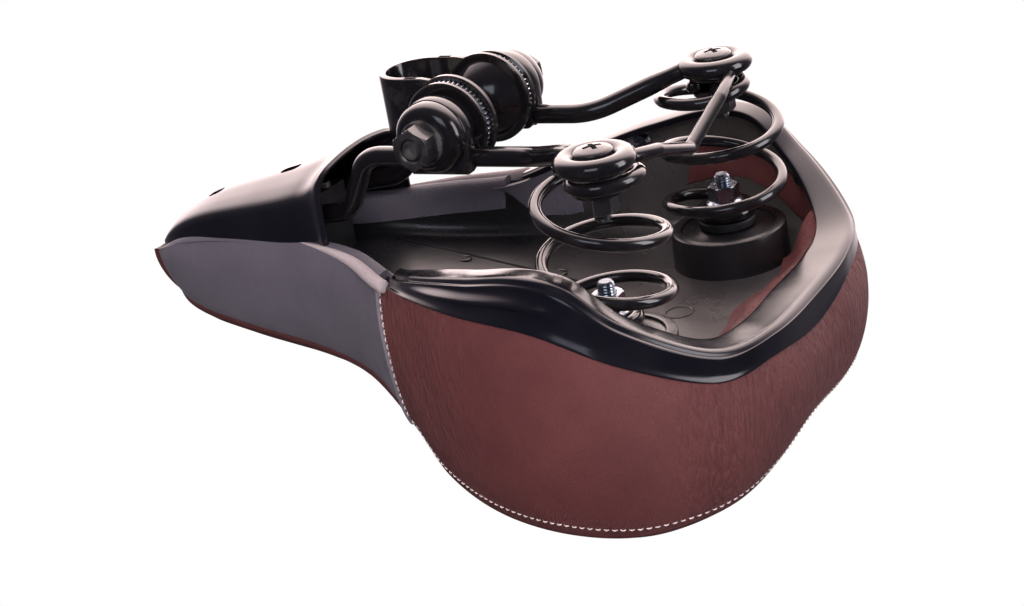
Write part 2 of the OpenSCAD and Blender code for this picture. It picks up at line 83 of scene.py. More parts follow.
POST_R, STRAP_T, STRAP_H, STRAP_DROP = 11.1, 2.5, 28, 1.5
BOLT_BACK, EAR_R = 19.5, 16.5
PIVOT_X, PIVOT_Z = 58, 36
EYE_COIL_Z, BASE_COIL_Z = 7.5, 55.6
WIND_TURNS, CLIMB_TURNS, COIL_LEAN = 0.95, 2.15, 2.4
FULL_TURNS = WIND_TURNS + CLIMB_TURNS
COIL_R, END_COIL_R, COIL_START = 20.6, 8.4, -43
WIRE_R, WIRE_THINNED = 2.6, 0.45
SCREW_R, SCREW_FLATS, BOLT_R, BOLT_FLATS = 3.0, 10, 3.95, 13
DISC_Y = POST_R + STRAP_T + 0.2
PLATE_Y = DISC_Y + 2.9
CAP_Y = RAIL_Y + 0.4
CAP_OUT = CAP_Y + 12.2


def smooth(x):
    t = np.clip(x, 0, 1)
    return t * t * (3 - 2 * t)


def bell(x, centre, width):
    """Bell-shaped share that is 1 at the centre."""
    return np.exp(-((x - centre) / width)**2)


def cubic(a, b, c, d, f):
    """Smooth curve from b to c at share f, with the points a before and d after."""
    return 0.5 * (2 * b + (c - a) * f + (2 * a - 5 * b + 4 * c - d) * f**2
                  + (3 * b - a - 3 * c + d) * f**3)


def catmull(rows, count, last=None):
    """Smooth curve of count places through the rows, from the first to the last."""
    rows = np.asarray(rows, float)
    end = len(rows) - 1
    u = np.clip(np.linspace(0, last or end, count), 0, end - 1e-9)
    i = np.floor(u).astype(int)
    f = (u - i).reshape(u.shape + (1,) * (rows.ndim - 1))
    return cubic(*(rows[np.clip(i + k, 0, end)] for k in (-1, 0, 1, 2)), f)


def outline(u):
    """Row of the saddle's outline at u, which runs from 0 at the rear to HALF at the nose's tip."""
    u = np.asarray(u, float)
    i = np.floor(u).astype(int)
    return cubic(*(CONTROL[(i + k) % LOOP] for k in (-1, 0, 1, 2)), (u - i)[..., None])


def from_rear(u):
    return np.abs(((u + HALF) % LOOP) - HALF)


def spine_x(q):
    return np.clip(q[..., 0], SPINE_REAR, SPINE_FRONT)


def reach(q):
    """Distance from the outline to the middle line."""
    return np.hypot(spine_x(q) - q[..., 0], q[..., 1])


def inward(q, inset):
    """Plan position a distance in from the outline, towards the middle line."""
    share = inset / reach(q)
    return np.stack([q[..., 0] + (spine_x(q) - q[..., 0]) * share, q[..., 1] * (1 - share)], -1)


def at_inset(q, inset, z):
    """Points a distance in from the outline at a height, in one row for each place of q."""
    inset, z = np.broadcast_arrays(inset, z)
    return np.concatenate([inward(q[:, None], inset), z[..., None]], -1)


def flank(u, s, off):
    """Side wall at share s from its lower edge to the seam, a distance off in from its face."""
    u, s, off = np.broadcast_arrays(np.asarray(u, float), s, off)
    q = outline(u)
    shoulder = 2 + 0.17 * reach(q)
    tuck = np.maximum(0, 1 - s / WIDEST)
    t = np.clip((s - WIDEST) / 0.7, 0, 0.999)
    at_rear = 1 - smooth((from_rear(u) - 0.3) / 2.2)
    at_tip = 1 - smooth((HALF - from_rear(u) - 0.3) / 2.2)
    drawn_in = (off + EDGE_TUCK * tuck**2 * (1 - 0.8 * at_tip) + shoulder * (1 - np.sqrt(1 - t**2))
                + s * (REAR_LEAN * at_rear + TIP_LEAN * at_tip))
    z = q[..., 3] + (q[..., 4] - q[..., 3]) * s - 0.8 * off * s**4
    return np.concatenate([inward(q, drawn_in), z[..., None]], -1)


def crown(u, g, off):
    """Top of the saddle at share g from the seam to the middle line."""
    u, g, off = np.broadcast_arrays(np.asarray(u, float), g, off)
    q = outline(u)
    seam = flank(u, 1.0, off)
    cx = spine_x(q)
    cz = np.interp(cx, CROWN[:, 0], CROWN[:, 1])
    bulge = 0.1 * reach(q) * np.sin(np.pi * g)
    return np.stack([seam[..., 0] + (cx - seam[..., 0]) * g, seam[..., 1] * (1 - g),
                     seam[..., 2] + (cz - off - seam[..., 2]) * g + bulge], -1)


def pan_z(x):
    return np.interp(x, PAN[:, 0], PAN[:, 1])


def run_along(points):
    """Distance of each point from the first one, along the line through them."""
    return np.concatenate([[0], np.cumsum(np.linalg.norm(np.diff(points, axis=0), axis=1))])


def even_places(u0, u1, count, s=0.5):
    """Places along the outline from u0 to u1, evenly spaced along the side wall."""
    fine = np.linspace(u0, u1, 2000)
    run = run_along(flank(fine, s, 0.0))
    return np.interp(np.linspace(0, run[-1], count), run, fine)


# ---- mesh building: data is a pair of vertices and faces ----

def sharpen(obj, crease):
    obj.data.set_sharp_from_angle(angle=math.radians(crease))


def new_object(name, data, crease=40):
    verts, faces = data
    mesh = bpy.data.meshes.new(name)
    mesh.from_pydata([tuple(v) for v in np.asarray(verts, float) * MM], [], faces)
    mesh.validate()
    bm = bmesh.new()
    bm.from_mesh(mesh)
    bmesh.ops.recalc_face_normals(bm, faces=bm.faces)
    bm.to_mesh(mesh)
    bm.free()
    mesh.shade_smooth()
    obj = bpy.data.objects.new(name, mesh)
    sharpen(obj, crease)
    bpy.context.scene.collection.objects.link(obj)
    return obj


def loft_data(rows, closed=False, capped=True):
    """Surface through closed loops of points; closed joins the last loop to the first."""
    rows = np.asarray(rows, float)
    n, m = rows.shape[:2]
    faces = []
    for k in range(n if closed else n - 1):
        a, b = k * m, ((k + 1) % n) * m
        faces += [(a + i, a + (i + 1) % m, b + (i + 1) % m, b + i) for i in range(m)]
    if capped and not closed:
        for base in (0, (n - 1) * m):
            for i in range(m // 2 - 1):
                faces.append((base + i, base + i + 1, base + m - 2 - i, base + m - 1 - i))
    return rows.reshape(-1, 3), faces


def join_data(parts):
    verts, faces, start = [], [], 0
    for v, f in parts:
        verts.append(np.asarray(v, float))
        faces += [tuple(i + start for i in face) for face in f]
        start += len(v)
    return np.vstack(verts), faces


def frames(path):
    """Unit direction, side and up vectors that turn as little as possible along a path."""
    tangent = np.gradient(path, axis=0)
    tangent /= np.linalg.norm(tangent, axis=1)[:, None]
    side = np.cross(tangent[0], [0, 0, 1])
    if np.linalg.norm(side) < 1e-3:
        side = np.cross(tangent[0], [0, 1, 0])
    sides = []
    for t in tangent:
        side = side - t * (side @ t)
        side = side / np.linalg.norm(side)
        sides.append(side)
    return tangent, sides, np.cross(sides, tangent)


def tube_data(path, radius, sides=20, round_ends=True):
    """Round wire along a path, with domed ends. radius is a number or one for each point."""
    path = np.asarray(path, float)
    radius = np.broadcast_to(np.asarray(radius, float), len(path))
    tangent, side, up = frames(path)

    def dome(end, way):
        return [(path[end] + way * tangent[end] * radius[end] * 0.5 * math.sin(a),
                 radius[end] * math.cos(a), end) for a in (0.45, 0.9, 1.35)]
    stations = [(p, r, i) for i, (p, r) in enumerate(zip(path, radius))]
    if round_ends:
        stations = dome(0, -1)[::-1] + stations + dome(-1, 1)
    angles = np.arange(sides)[:, None] * 2 * math.pi / sides
    return loft_data([p + r * (np.cos(angles) * side[i] + np.sin(angles) * up[i])
                      for p, r, i in stations])


def bend(a, b, c, radius, count=None, degrees=6):
    """Points of a rounded corner at b on the way from a to c, count of them or one every few degrees."""
    u, v = (b - a) / np.linalg.norm(b - a), (c - b) / np.linalg.norm(c - b)
    angle = math.acos(np.clip(u @ v, -1, 1))
    w = v - u * (u @ v)
    w /= np.linalg.norm(w)
    centre = b - u * radius * math.tan(angle / 2) + w * radius
    count = count or max(4, int(math.degrees(angle) / degrees))
    return [centre + radius * (u * math.sin(e) - w * math.cos(e)) for e in np.linspace(0, angle, count)]


def corner_path(points, radii, degrees=6):
    """Path through corner points, with a bend of its own radius at each inner one."""
    points = [np.array(p, float) for p in points]
    path = [points[0]]
    for i, radius in enumerate(radii, 1):
        path += bend(*points[i - 1:i + 2], radius, degrees=degrees)
    return np.array(path + [points[-1]])


def rounded(points, radii):
    """Closed plan outline with each corner rounded by its own radius, where 0 leaves it sharp."""
    points = [np.array(p, float) for p in points]
    out = []
    for i, radius in enumerate(radii):
        corner = points[i - 1], points[i], points[(i + 1) % len(points)]
        out += bend(*corner, radius, 5) if radius else [points[i]]
    return np.array(out)


def revolve_data(profile, count=64, shape=lambda a, r, z: (r, z)):
    """Profile of (radius, height) pairs turned about Z. shape(angle, radius, height) may change
    a point. A profile that ends on the axis is closed there, any other is closed on itself."""
    profile = np.array(profile, float)
    solid = profile[0, 0] < 1e-6 and profile[-1, 0] < 1e-6
    angles = np.arange(count) * 2 * math.pi / count
    rows = []
    for r, z in profile[1:-1] if solid else profile:
        ring = [(a, *shape(a, r, z)) for a in angles]
        rows.append([(rr * math.cos(a), rr * math.sin(a), zz) for a, rr, zz in ring])
    if not solid:
        return loft_data(rows, closed=True)
    verts, faces = loft_data(rows, capped=False)
    ends = [(0, 0, shape(0.0, 0.0, z)[1]) for _, z in profile[[0, -1]]]
    n, last = len(verts), len(verts) - count
    faces += [(n, (i + 1) % count, i) for i in range(count)]
    faces += [(n + 1, last + i, last + (i + 1) % count) for i in range(count)]
    return np.vstack([verts, ends]), faces


def placed(data, matrix):
    """Data moved by a 4 by 4 matrix in millimetres."""
    verts, faces = data
    m = np.array(matrix, float)
    return np.asarray(verts, float) @ m[:3, :3].T + m[:3, 3], faces


def shift(x, y, z=0):
    return Matrix.Translation((x, y, z))


def turn(degrees, axis):
    return Matrix.Rotation(math.radians(degrees), 4, axis)


def on_side(data, side):
    """Data made for the left, on the left (1) or on the right (-1)."""
    verts, faces = data
    return np.asarray(verts, float) * [1, side, 1], faces


def both_sides(data):
    return join_data([data, on_side(data, -1)])


def nut_data(flats, low, high, bore, ends=(True, True)):
    """Hexagon with a bore. ends says whether its corners are chamfered at the low and high end."""
    apothem = flats / 2

    def shape(a, r, z):
        if r < apothem - 0.01:
            return r, z
        corner = (a + math.pi / 6) % (math.pi / 3) - math.pi / 6
        limits = [apothem * 1.02 + d * 1.7 for d, cut_here in zip((z - low, high - z), ends) if cut_here]
        return min(apothem / math.cos(corner), apothem * 1.19, *limits), z
    levels = [low, low + 0.25, low + 0.6, low + 1.2, high - 1.2, high - 0.6, high - 0.25, high]
    profile = [(bore, low + 0.4), (bore + 0.5, low), (apothem * 0.97, low)]
    profile += [(apothem, z) for z in levels]
    profile += [(apothem * 0.97, high), (bore + 0.5, high), (bore, high - 0.4)]
    return revolve_data(profile, 96, shape)


def thread_data(radius, low, high, pitch=1.0, count=40):
    """Threaded shank with a helical groove and a chamfered end at its low side."""
    heights = np.linspace(low, high, max(8, int((high - low) / pitch * 8)))
    profile = [(0, low)] + [(radius, z) for z in heights] + [(0, high)]

    def shape(a, r, z):
        if r == 0:
            return 0, z
        phase = (z / pitch - a / (2 * math.pi)) % 1.0
        groove = 0.32 * pitch * (1 - abs(2 * phase - 1))
        return max(0.2, min(radius - groove, radius * 0.72 + (z - low) * 0.9)), z
    return revolve_data(profile, count, shape)


def apply_modifiers(obj):
    bpy.context.view_layer.update()
    graph = bpy.context.evaluated_depsgraph_get()
    mesh = bpy.data.meshes.new_from_object(obj.evaluated_get(graph))
    obj.modifiers.clear()
    obj.data = mesh


def cut(obj, data):
    """Takes a closed shape out of a piece."""
    cutter = new_object("cutter", data)
    mod = obj.modifiers.new("cut", "BOOLEAN")
    mod.operation, mod.solver, mod.object = "DIFFERENCE", "EXACT", cutter
    apply_modifiers(obj)
    bpy.data.objects.remove(cutter, do_unlink=True)
    obj.data.shade_smooth()
    sharpen(obj, 35)


def merge(obj, other):
    """Adds another piece's mesh to a piece."""
    bm = bmesh.new()
    bm.from_mesh(obj.data)
    bm.from_mesh(other.data)
    bm.to_mesh(obj.data)
    bm.free()
    bpy.data.objects.remove(other, do_unlink=True)
    sharpen(obj, 35)


# ---- materials ----

def add_node(tree, kind, numbers=None, links=None, **settings):
    """New node with its settings, and with numbers or other nodes' outputs on its inputs."""
    made = tree.nodes.new(kind)
    for key, value in settings.items():
        setattr(made, key, value)
    for socket, value in (numbers or {}).items():
        made.inputs[socket].default_value = value
    for socket, source in (links or {}).items():
        tree.links.new(source, made.inputs[socket])
    return made


class Look:
    """A procedural material: colour and roughness that vary over the surface, and fine relief."""

    def __init__(self, name, colour, rough, metallic=0.0, coat=0.0, coat_rough=0.04, sheen=0.0,
                 specular=0.5):
        self.material = bpy.data.materials.new(name)
        self.material.use_nodes = True
        self.tree = self.material.node_tree
        self.shader = self.tree.nodes["Principled BSDF"]
        numbers = {"Metallic": metallic, "Coat Weight": coat, "Coat Roughness": coat_rough,
                   "Sheen Weight": sheen, "Sheen Roughness": 0.4, "Specular IOR Level": specular,
                   "Base Color": (*colour, 1), "Roughness": rough}
        for socket, value in numbers.items():
            self.shader.inputs[socket].default_value = value
        self.place = self.node("ShaderNodeTexCoord").outputs["Object"]
        self.normal = None

    def node(self, *kind_and_inputs, **settings):
        return add_node(self.tree, *kind_and_inputs, **settings)

    def texture(self, kind, stretch, **numbers):
        space = self.node("ShaderNodeMapping", {"Scale": stretch}, {"Vector": self.place})
        return self.node(kind, numbers, {"Vector": space.outputs["Vector"]})

    def noise(self, scale, detail=4, stretch=(1, 1, 1)):
        made = self.texture("ShaderNodeTexNoise", stretch, Scale=scale, Detail=detail, Roughness=0.55)
        return made.outputs["Fac"]

    def cells(self, scale, width, stretch=(1, 1, 1)):
        """Network of lines between cells: 0 on a line, 1 at a share width of a cell from it."""
        made = self.texture("ShaderNodeTexVoronoi", stretch, Scale=scale)
        made.feature = "DISTANCE_TO_EDGE"
        return self.remap(made.outputs["Distance"], 0.0, width)

    def math(self, operation, first, second):
        return self.node("ShaderNodeMath", {}, {0: first, 1: second}, operation=operation).outputs[0]

    def along_x(self, low, high):
        """Share from 0 to 1 between two places along X, in metres."""
        split = self.node("ShaderNodeSeparateXYZ", {}, {0: self.place})
        return self.remap(split.outputs["X"], low, high)

    def remap(self, value, low, high, to_low=0.0, to_high=1.0):
        numbers = {"From Min": low, "From Max": high, "To Min": to_low, "To Max": to_high}
        return self.node("ShaderNodeMapRange", numbers, {"Value": value}).outputs["Result"]

    def blend(self, amount, first, second):
        made = self.node("ShaderNodeMix", data_type="RGBA")
        sockets = [s for s in made.inputs if s.type == "RGBA"]
        for socket, colour in zip(sockets, (first, second)):
            if hasattr(colour, "links"):
                self.tree.links.new(colour, socket)
            else:
                socket.default_value = (*colour, 1)
        self.tree.links.new(amount, made.inputs["Factor"])
        return next(s for s in made.outputs if s.type == "RGBA")

    def patches(self, scale, detail, low, high, first, second):
        """Colour that goes from one to another in soft patches."""
        return self.blend(self.remap(self.noise(scale, detail), low, high), first, second)

    def worn_edges(self, base, worn):
        """Colour that turns to the worn one along sharp edges, broken up by noise."""
        point = self.node("ShaderNodeNewGeometry").outputs["Pointiness"]
        edge = self.remap(point, 0.52, 0.6)
        patchy = self.remap(self.noise(180, 3), 0.45, 0.65)
        return self.blend(self.math("MULTIPLY", edge, patchy), base, worn)

    def colour(self, socket):
        self.tree.links.new(socket, self.shader.inputs["Base Color"])

    def roughness(self, scale, detail, low, high, least, most):
        """Roughness that varies from the least to the most in soft patches."""
        patchy = self.remap(self.noise(scale, detail), low, high, least, most)
        self.tree.links.new(patchy, self.shader.inputs["Roughness"])

    def bump(self, height, depth):
        """Relief of a given depth in millimetres, on top of the relief so far."""
        links = {"Height": height}
        if self.normal is not None:
            links["Normal"] = self.normal
        made = self.node("ShaderNodeBump", {"Distance": depth * MM, "Strength": 1.0}, links)
        self.normal = made.outputs["Normal"]
        self.tree.links.new(self.normal, self.shader.inputs["Normal"])

    def relief(self, *layers):
        """Noise relief in layers of scale, detail, depth and sometimes stretch; ends a material."""
        for scale, detail, depth, *stretch in layers:
            self.bump(self.noise(scale, detail, *stretch), depth)
        return self.material


def leather(name, light, dark, crease_depth, rough=(0.45, 0.6), sheen=0.0, folds=None):
    """Pored leather, with painted shade in its pores. folds adds fine upright creases near the front edge
    and the rear corner.
    """
    look = Look(name, light, rough[0], sheen=sheen, specular=0.3)
    pores = look.cells(1150, 0.12)
    # painted shade: the colour darkens towards a darker brown in the pores
    pore_shade = look.remap(pores, 0.0, 1.0, 0.35, 0.0)
    look.colour(look.blend(pore_shade, look.patches(38, 5, 0.35, 0.7, light, dark),
                           tuple(0.45 * c for c in dark)))
    look.roughness(140, 3, 0.3, 0.7, *rough)
    look.bump(look.noise(75, 5), crease_depth)
    look.bump(look.cells(120, 0.25, (1.2, 1.2, 0.6)), crease_depth * 0.45)
    look.bump(look.noise(260, 4, (1.3, 1.3, 0.9)), crease_depth * 0.5)
    if folds:
        where = look.math("MAXIMUM", look.along_x(-0.060, -0.020), look.along_x(-0.112, -0.128))
        broad = look.cells(190, 0.35, (1.7, 1.7, 0.5))
        finer = look.cells(420, 0.5, (1.7, 1.7, 0.4))
        look.bump(look.math("MULTIPLY", broad, where), folds)
        look.bump(look.math("MULTIPLY", finer, where), folds * 0.5)
    look.bump(pores, 0.09)
    return look.relief((2600, 2, 0.03))


def gloss_plastic():
    look = Look("gloss_moulding", (0.004, 0.004, 0.006), 0.18, coat=0.1, coat_rough=0.1)
    look.colour(look.patches(24, 3, 0.4, 0.7, (0.003, 0.003, 0.005), (0.006, 0.0055, 0.008)))
    look.roughness(90, 5, 0.35, 0.75, 0.15, 0.23)
    return look.relief((34, 2, 0.04), (900, 2, 0.006))


def pan_plastic(name, first, second):
    """Grained plastic of the pan, with painted shade that turns it near black towards the nose."""
    look = Look(name, first, 0.3, specular=0.6)
    colour = look.patches(30, 5, 0.35, 0.7, first, second)
    # painted shade: from x = -60 mm towards the nose the colour blends to near black
    look.colour(look.blend(look.along_x(-0.060, -0.005), colour, (0.006, 0.006, 0.007)))
    look.roughness(55, 4, 0.3, 0.7, 0.24, 0.38)
    return look.relief((1500, 3, 0.05), (45, 4, 0.12, (1, 3, 1)))


def enamel():
    black = (0.004, 0.0035, 0.004)
    look = Look("black_enamel_wire", black, 0.14, coat=0.4, coat_rough=0.05, specular=0.6)
    look.colour(look.worn_edges(black, (0.03, 0.027, 0.026)))
    look.roughness(120, 4, 0.35, 0.7, 0.11, 0.22)
    return look.relief((150, 3, 0.05), (1400, 2, 0.006))


def black_steel():
    look = Look("black_zinc_steel", (0.03, 0.029, 0.03), 0.3, metallic=0.4, coat=0.55, coat_rough=0.09)
    base = look.patches(60, 4, 0.35, 0.7, (0.012, 0.0115, 0.013), (0.028, 0.026, 0.028))
    look.colour(look.worn_edges(base, (0.14, 0.13, 0.13)))
    look.roughness(200, 4, 0.3, 0.7, 0.22, 0.42)
    return look.relief((700, 3, 0.02))


def zinc():
    look = Look("bright_zinc", (0.6, 0.66, 0.74), 0.22, metallic=1.0)
    base = look.patches(110, 4, 0.35, 0.7, (0.27, 0.32, 0.40), (0.42, 0.44, 0.46))
    look.colour(look.worn_edges(base, (0.74, 0.77, 0.8)))
    look.roughness(260, 4, 0.3, 0.7, 0.16, 0.34)
    return look.relief((900, 3, 0.015, (1, 1, 3)))


def plain(name, colour, second, rough, scale=400, depth=0.05, **more):
    look = Look(name, colour, rough, **more)
    look.colour(look.patches(scale * 0.3, 4, 0.35, 0.7, colour, second))
    look.roughness(scale * 0.5, 3, 0.3, 0.7, rough * 0.85, min(1, rough * 1.15))
    return look.relief((scale, 3, depth))


BROWN = leather("brown_leather", (0.112, 0.035, 0.034), (0.088, 0.027, 0.028), 0.16, (0.52, 0.66),
                folds=0.6)
DARK = leather("dark_leather", (0.060, 0.020, 0.020), (0.042, 0.014, 0.014), 0.14, (0.62, 0.74))
GREY = leather("grey_vinyl", (0.088, 0.079, 0.100), (0.070, 0.063, 0.082), 0.05, (0.44, 0.56), 0.05)
BEAD = leather("bead_vinyl", (0.40, 0.34, 0.35), (0.32, 0.27, 0.28), 0.08)
PIPE = leather("piping_vinyl", (0.17, 0.15, 0.17), (0.13, 0.115, 0.135), 0.06)
GLOSS = gloss_plastic()
PLASTIC = pan_plastic("pan_moulding", (0.036, 0.032, 0.032), (0.062, 0.054, 0.052))
BOSS = pan_plastic("boss_moulding", (0.004, 0.004, 0.005), (0.010, 0.009, 0.010))
ENAMEL = enamel()
STEEL = black_steel()
ZINC = zinc()
THREAD = plain("white_thread", (0.60, 0.51, 0.49), (0.44, 0.37, 0.36), 0.7, 2500, 0.12, sheen=0.3)
BRASS = plain("staple_wire", (0.66, 0.47, 0.2), (0.45, 0.33, 0.16), 0.28, 500, metallic=1.0)
RUBBER = plain("moulded_rubber", (0.006, 0.006, 0.007), (0.014, 0.013, 0.014), 0.5, 900)


def paint(obj, material):
    obj.data.materials.clear()
    obj.data.materials.append(material)


def dress(obj, material, body, *nodes):
    """Gives a finished piece its material and its body, and hides the CAD nodes that it stands for."""
    paint(obj, material)
    if body:
        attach(obj, body)
    if nodes:
        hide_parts(*nodes)


def piece(name, data, material, body, *nodes, crease=40):
    obj = new_object(name, data, crease)
    dress(obj, material, body, *nodes)
    return obj


# ---- covers ----

def wave_field(a, b, seed):
    """Smooth noise from -1 to 1 for arrays of places."""
    a, b = np.broadcast_arrays(a, b)
    flat = [noise.noise(Vector((x, y, seed))) for x, y in zip(a.ravel(), b.ravel())]
    return np.array(flat).reshape(a.shape)


def wrinkles(u, s, along):
    """Height of the leather's vertical creases, in millimetres, at distances along the wall."""
    flex = wave_field(along * 0.011, s * 0.7, 3.1)
    fine = 1 - np.abs(wave_field(along * 0.30 + flex * 2.2, s * 1.5, 7.7)) * 2
    broad = 1 - np.abs(wave_field(along * 0.12 + flex, s * 1.0, 1.9)) * 2
    ends = np.sin(np.pi * np.clip(s * 0.94 + 0.04, 0, 1))**0.5
    swell = wave_field(along * 0.035, s * 1.6, 5.5) * 0.45
    depth = 0.02 + 0.22 * bell(np.abs(u), 6.7, 0.55) + 0.20 * bell(np.abs(u), 2.3, 0.7)
    return ends * (depth * (0.6 * fine + 0.4 * broad) + swell * 0.5)


def wall_rows(us, along=None, fold=()):
    """Sections of a side cover: outside from the lower edge to the seam, then the inside back.
    With along, the distance of each place along the wall, the outside is creased."""
    levels = np.concatenate([np.linspace(0, 0.9, 56), np.linspace(0.915, 1, 12)])
    u, s = np.meshgrid(us, levels, indexing="ij")
    outer = flank(u, s, 0.0)
    if along is not None:
        lift = wrinkles(u, s, along[:, None])
        q = outline(u)
        out = -np.stack([spine_x(q) - q[..., 0], -q[..., 1]], -1) / reach(q)[..., None]
        lean = smooth((s - 0.7) / 0.3) * 0.7
        outer[..., :2] += out * (lift * (1 - 0.4 * lean))[..., None]
        outer[..., 2] += lift * lean
    roll = [flank(us, 1.006, 0.35)[:, None], flank(us, 1.002, 0.9)[:, None]]
    inner = flank(u[:, ::-1], s[:, ::-1], COVER_T * 0.75)
    return np.concatenate([*fold, outer, *roll, inner], axis=1)


def skirt():
    us = even_places(-PANEL_U, PANEL_U, 620)
    fine = np.linspace(-PANEL_U, PANEL_U, 400)
    along = np.interp(us, fine, run_along(flank(fine, 0.5, 0.0)))
    piece("skirt_leather", loft_data(wall_rows(us, along)), BROWN, "seat", "rear_skirt", crease=60)


def nose_side(side):
    """Grey side panel whose lower edge is rolled over the pan's rim."""
    us = even_places(PANEL_U + 0.05, HALF - 0.02, 170) * side
    q = outline(us)
    inset, rise = catmull([(12.6, 9), (12.2, 3.5), (11.6, 0.6), (10.4, -1.2), (8.2, -2.0),
                           (6.0, -1.9), (4.4, -1.3), (3.4, -0.4)], 26).T
    slim = np.minimum(1, reach(q) / 30)[:, None]
    fold = at_inset(q, inset * slim, q[:, 3:4] + rise)
    piece("nose_side_" + HAND[side], loft_data(wall_rows(us, fold=[fold])), GREY, "seat",
          "nose_panel_" + HAND[side], crease=60)


def seat_top():
    """Top cover: a padded dome with a shallow relief along its middle, drawn in at the seam."""
    us = (np.arange(300) + 0.5) * LOOP / 300
    gs = np.concatenate([np.linspace(0, 0.12, 9), np.linspace(0.15, 0.985, 40)])
    g, u = np.meshgrid(gs, us, indexing="ij")
    top, under = crown(u, g, 0.0), crown(u, g, COVER_T)
    x, y = top[..., 0], top[..., 1]
    channel = 3.2 * bell(y, 0, 9.5) * smooth((x + 122) / 40) * smooth((70 - x) / 60)
    top[..., 2] += -channel + 1.6 * smooth(g / 0.12) * (1 - smooth((g - 0.2) / 0.5)) + 0.2
    under[..., 2] -= channel
    lip = [flank(us, 1.0, 0.9) - [0, 0, 1.0], flank(us, 0.99, 0.55)]
    piece("seat_cover", loft_data([*under[::-1], *lip, *top]), DARK, "seat", "top_cover", "foam_pad",
          crease=60)


class Swell:
    """The sewn cover under pressure: a closed pad held at its seams and run as cloth."""
    # Size of the pad's faces is in metres, and the most that a cover may swell in millimetres
    PRESSURE, FRAMES, FACE_SIZE, MOST = 4.0, 20, 0.006, 2.6

    def __init__(self):
        us = np.arange(130) * LOOP / 130 + 0.01
        edge = flank(us, 0.0, 0.0)
        rows = [flank(us, s, 0.6) for s in np.linspace(0, 1, 12)]
        rows += [crown(us, g, 0.6) for g in np.linspace(0.05, 0.97, 16)]
        core = [np.column_stack([edge[:, :2] * (1 - g) + crown(us, g, 0.0)[:, :2] * g, edge[:, 2] + 8])
                for g in (0.97, 0.6, 0.3)]
        pad = new_object("pad", loft_data(core + [flank(us, 0.0, 9.0)] + rows))
        remesh = pad.modifiers.new("voxels", "REMESH")
        remesh.mode, remesh.voxel_size = "VOXEL", self.FACE_SIZE
        apply_modifiers(pad)
        spots = np.array([v.co for v in pad.data.vertices]) / MM
        seams = [flank(us, 1.0, 0.6), flank(us, 0.0, 0.6), crown(us, 0.0, 0.0)]
        seams += [flank(side * PANEL_U, np.linspace(0, 1, 30), 0.6) for side in (-1, 1)]
        self.seam = self.tree(np.vstack(seams))
        self.hold(pad, spots, self.tree(np.vstack(rows)))
        moved = self.run(pad) - spots
        bpy.data.objects.remove(pad)
        far = np.linalg.norm(moved, axis=1)[:, None]
        self.moved = moved * (self.MOST * np.tanh(far / self.MOST) / np.maximum(far, 1e-6))
        self.points = self.tree(spots)

    @staticmethod
    def tree(points):
        made = kdtree.KDTree(len(points))
        for k, p in enumerate(points):
            made.insert(p, k)
        made.balance()
        return made

    def hold(self, pad, spots, skin):
        """Pins the pad near its seams and where it isn't under a cover."""
        group = pad.vertex_groups.new(name="held")
        for k, p in enumerate(spots):
            at_seam = 1 - smooth((self.seam.find(p)[2] - 3) / 6)
            off_skin = smooth((skin.find(p)[2] - 3) / 3)
            group.add([k], max(float(at_seam), float(off_skin)), "REPLACE")

    def run(self, pad):
        """Runs the cloth and gives the places of its vertices."""
        settings = pad.modifiers.new("cloth", "CLOTH").settings
        settings.quality = 6
        settings.use_pressure = True
        settings.uniform_pressure_force = self.PRESSURE
        settings.vertex_group_mass = "held"
        settings.effector_weights.gravity = 0
        for step in range(1, self.FRAMES + 1):
            bpy.context.scene.frame_set(step)
        graph = bpy.context.evaluated_depsgraph_get()
        places = np.array([v.co for v in pad.evaluated_get(graph).to_mesh().vertices]) / MM
        bpy.context.scene.frame_set(1)
        return places

    def fill(self, obj, share):
        """Moves a cover's vertices with the pad, and not at all on its seams."""
        for vertex in obj.data.vertices:
            p = vertex.co / MM
            near = self.points.find_n(p, 6)
            weights = [1 / (d * d + 4) for _, _, d in near]
            pull = sum((w * self.moved[k] for w, (_, k, _) in zip(weights, near)), np.zeros(3))
            fade = float(smooth((self.seam.find(p)[2] - 1.5) / 9)) * share / sum(weights)
            vertex.co += Vector(pull * fade) * MM
        obj.data.update()


skirt()
nose_side(1)
nose_side(-1)
seat_top()
swell = Swell()
for cover, share, padding in (("skirt_leather", 0.5, 0.8), ("nose_side_left", 0.5, 0.9),
                              ("nose_side_right", 0.5, 0.9), ("seat_cover", 1.0, 0.8)):
    if swell:
        swell.fill(bpy.data.objects[cover], share)


# ---- stitching, piping and turned edges ----

def stitch_data(start, end, out):
    """One stitch: a short thread that rises out of the leather and dips back in."""
    thread_r, rise, sunk = 0.22, 0.40, 0.2
    t = np.linspace(0, 1, 6)[:, None]
    path = start + (end - start) * t + out * (rise * np.sin(np.pi * t) - sunk)
    return tube_data(path, [thread_r * k for k in (0.7, 1, 1.1, 1.1, 1, 0.7)], 6)


def seam_stitches(places, outward, pitch=2.8, share=0.64):
    """Row of stitches along a line of places, with the way out of the leather at each place."""
    run = run_along(places)

    def at(rows, distance):
        return np.array([np.interp(distance, run, rows[:, i]) for i in range(3)])
    parts = []
    for k in range(int(run[-1] / pitch)):
        start, end = (k + 0.5 - share / 2) * pitch, (k + 0.5 + share / 2) * pitch
        out = at(outward, (start + end) / 2)
        parts.append(stitch_data(at(places, start), at(places, end), out / np.linalg.norm(out)))
    return parts


def wall_normal(u, s):
    d = 0.01
    along = flank(u + d, s, 0.0) - flank(u - d, s, 0.0)
    up = flank(u, s + d * 0.5, 0.0) - flank(u, s - d * 0.5, 0.0)
    n = np.cross(along, up)
    n /= np.linalg.norm(n, axis=-1)[..., None]
    q = outline(u)
    out = np.stack([q[..., 0] - spine_x(q), q[..., 1], np.zeros(len(q))], -1)
    return n * np.sign(np.sum(n * out, -1))[..., None]


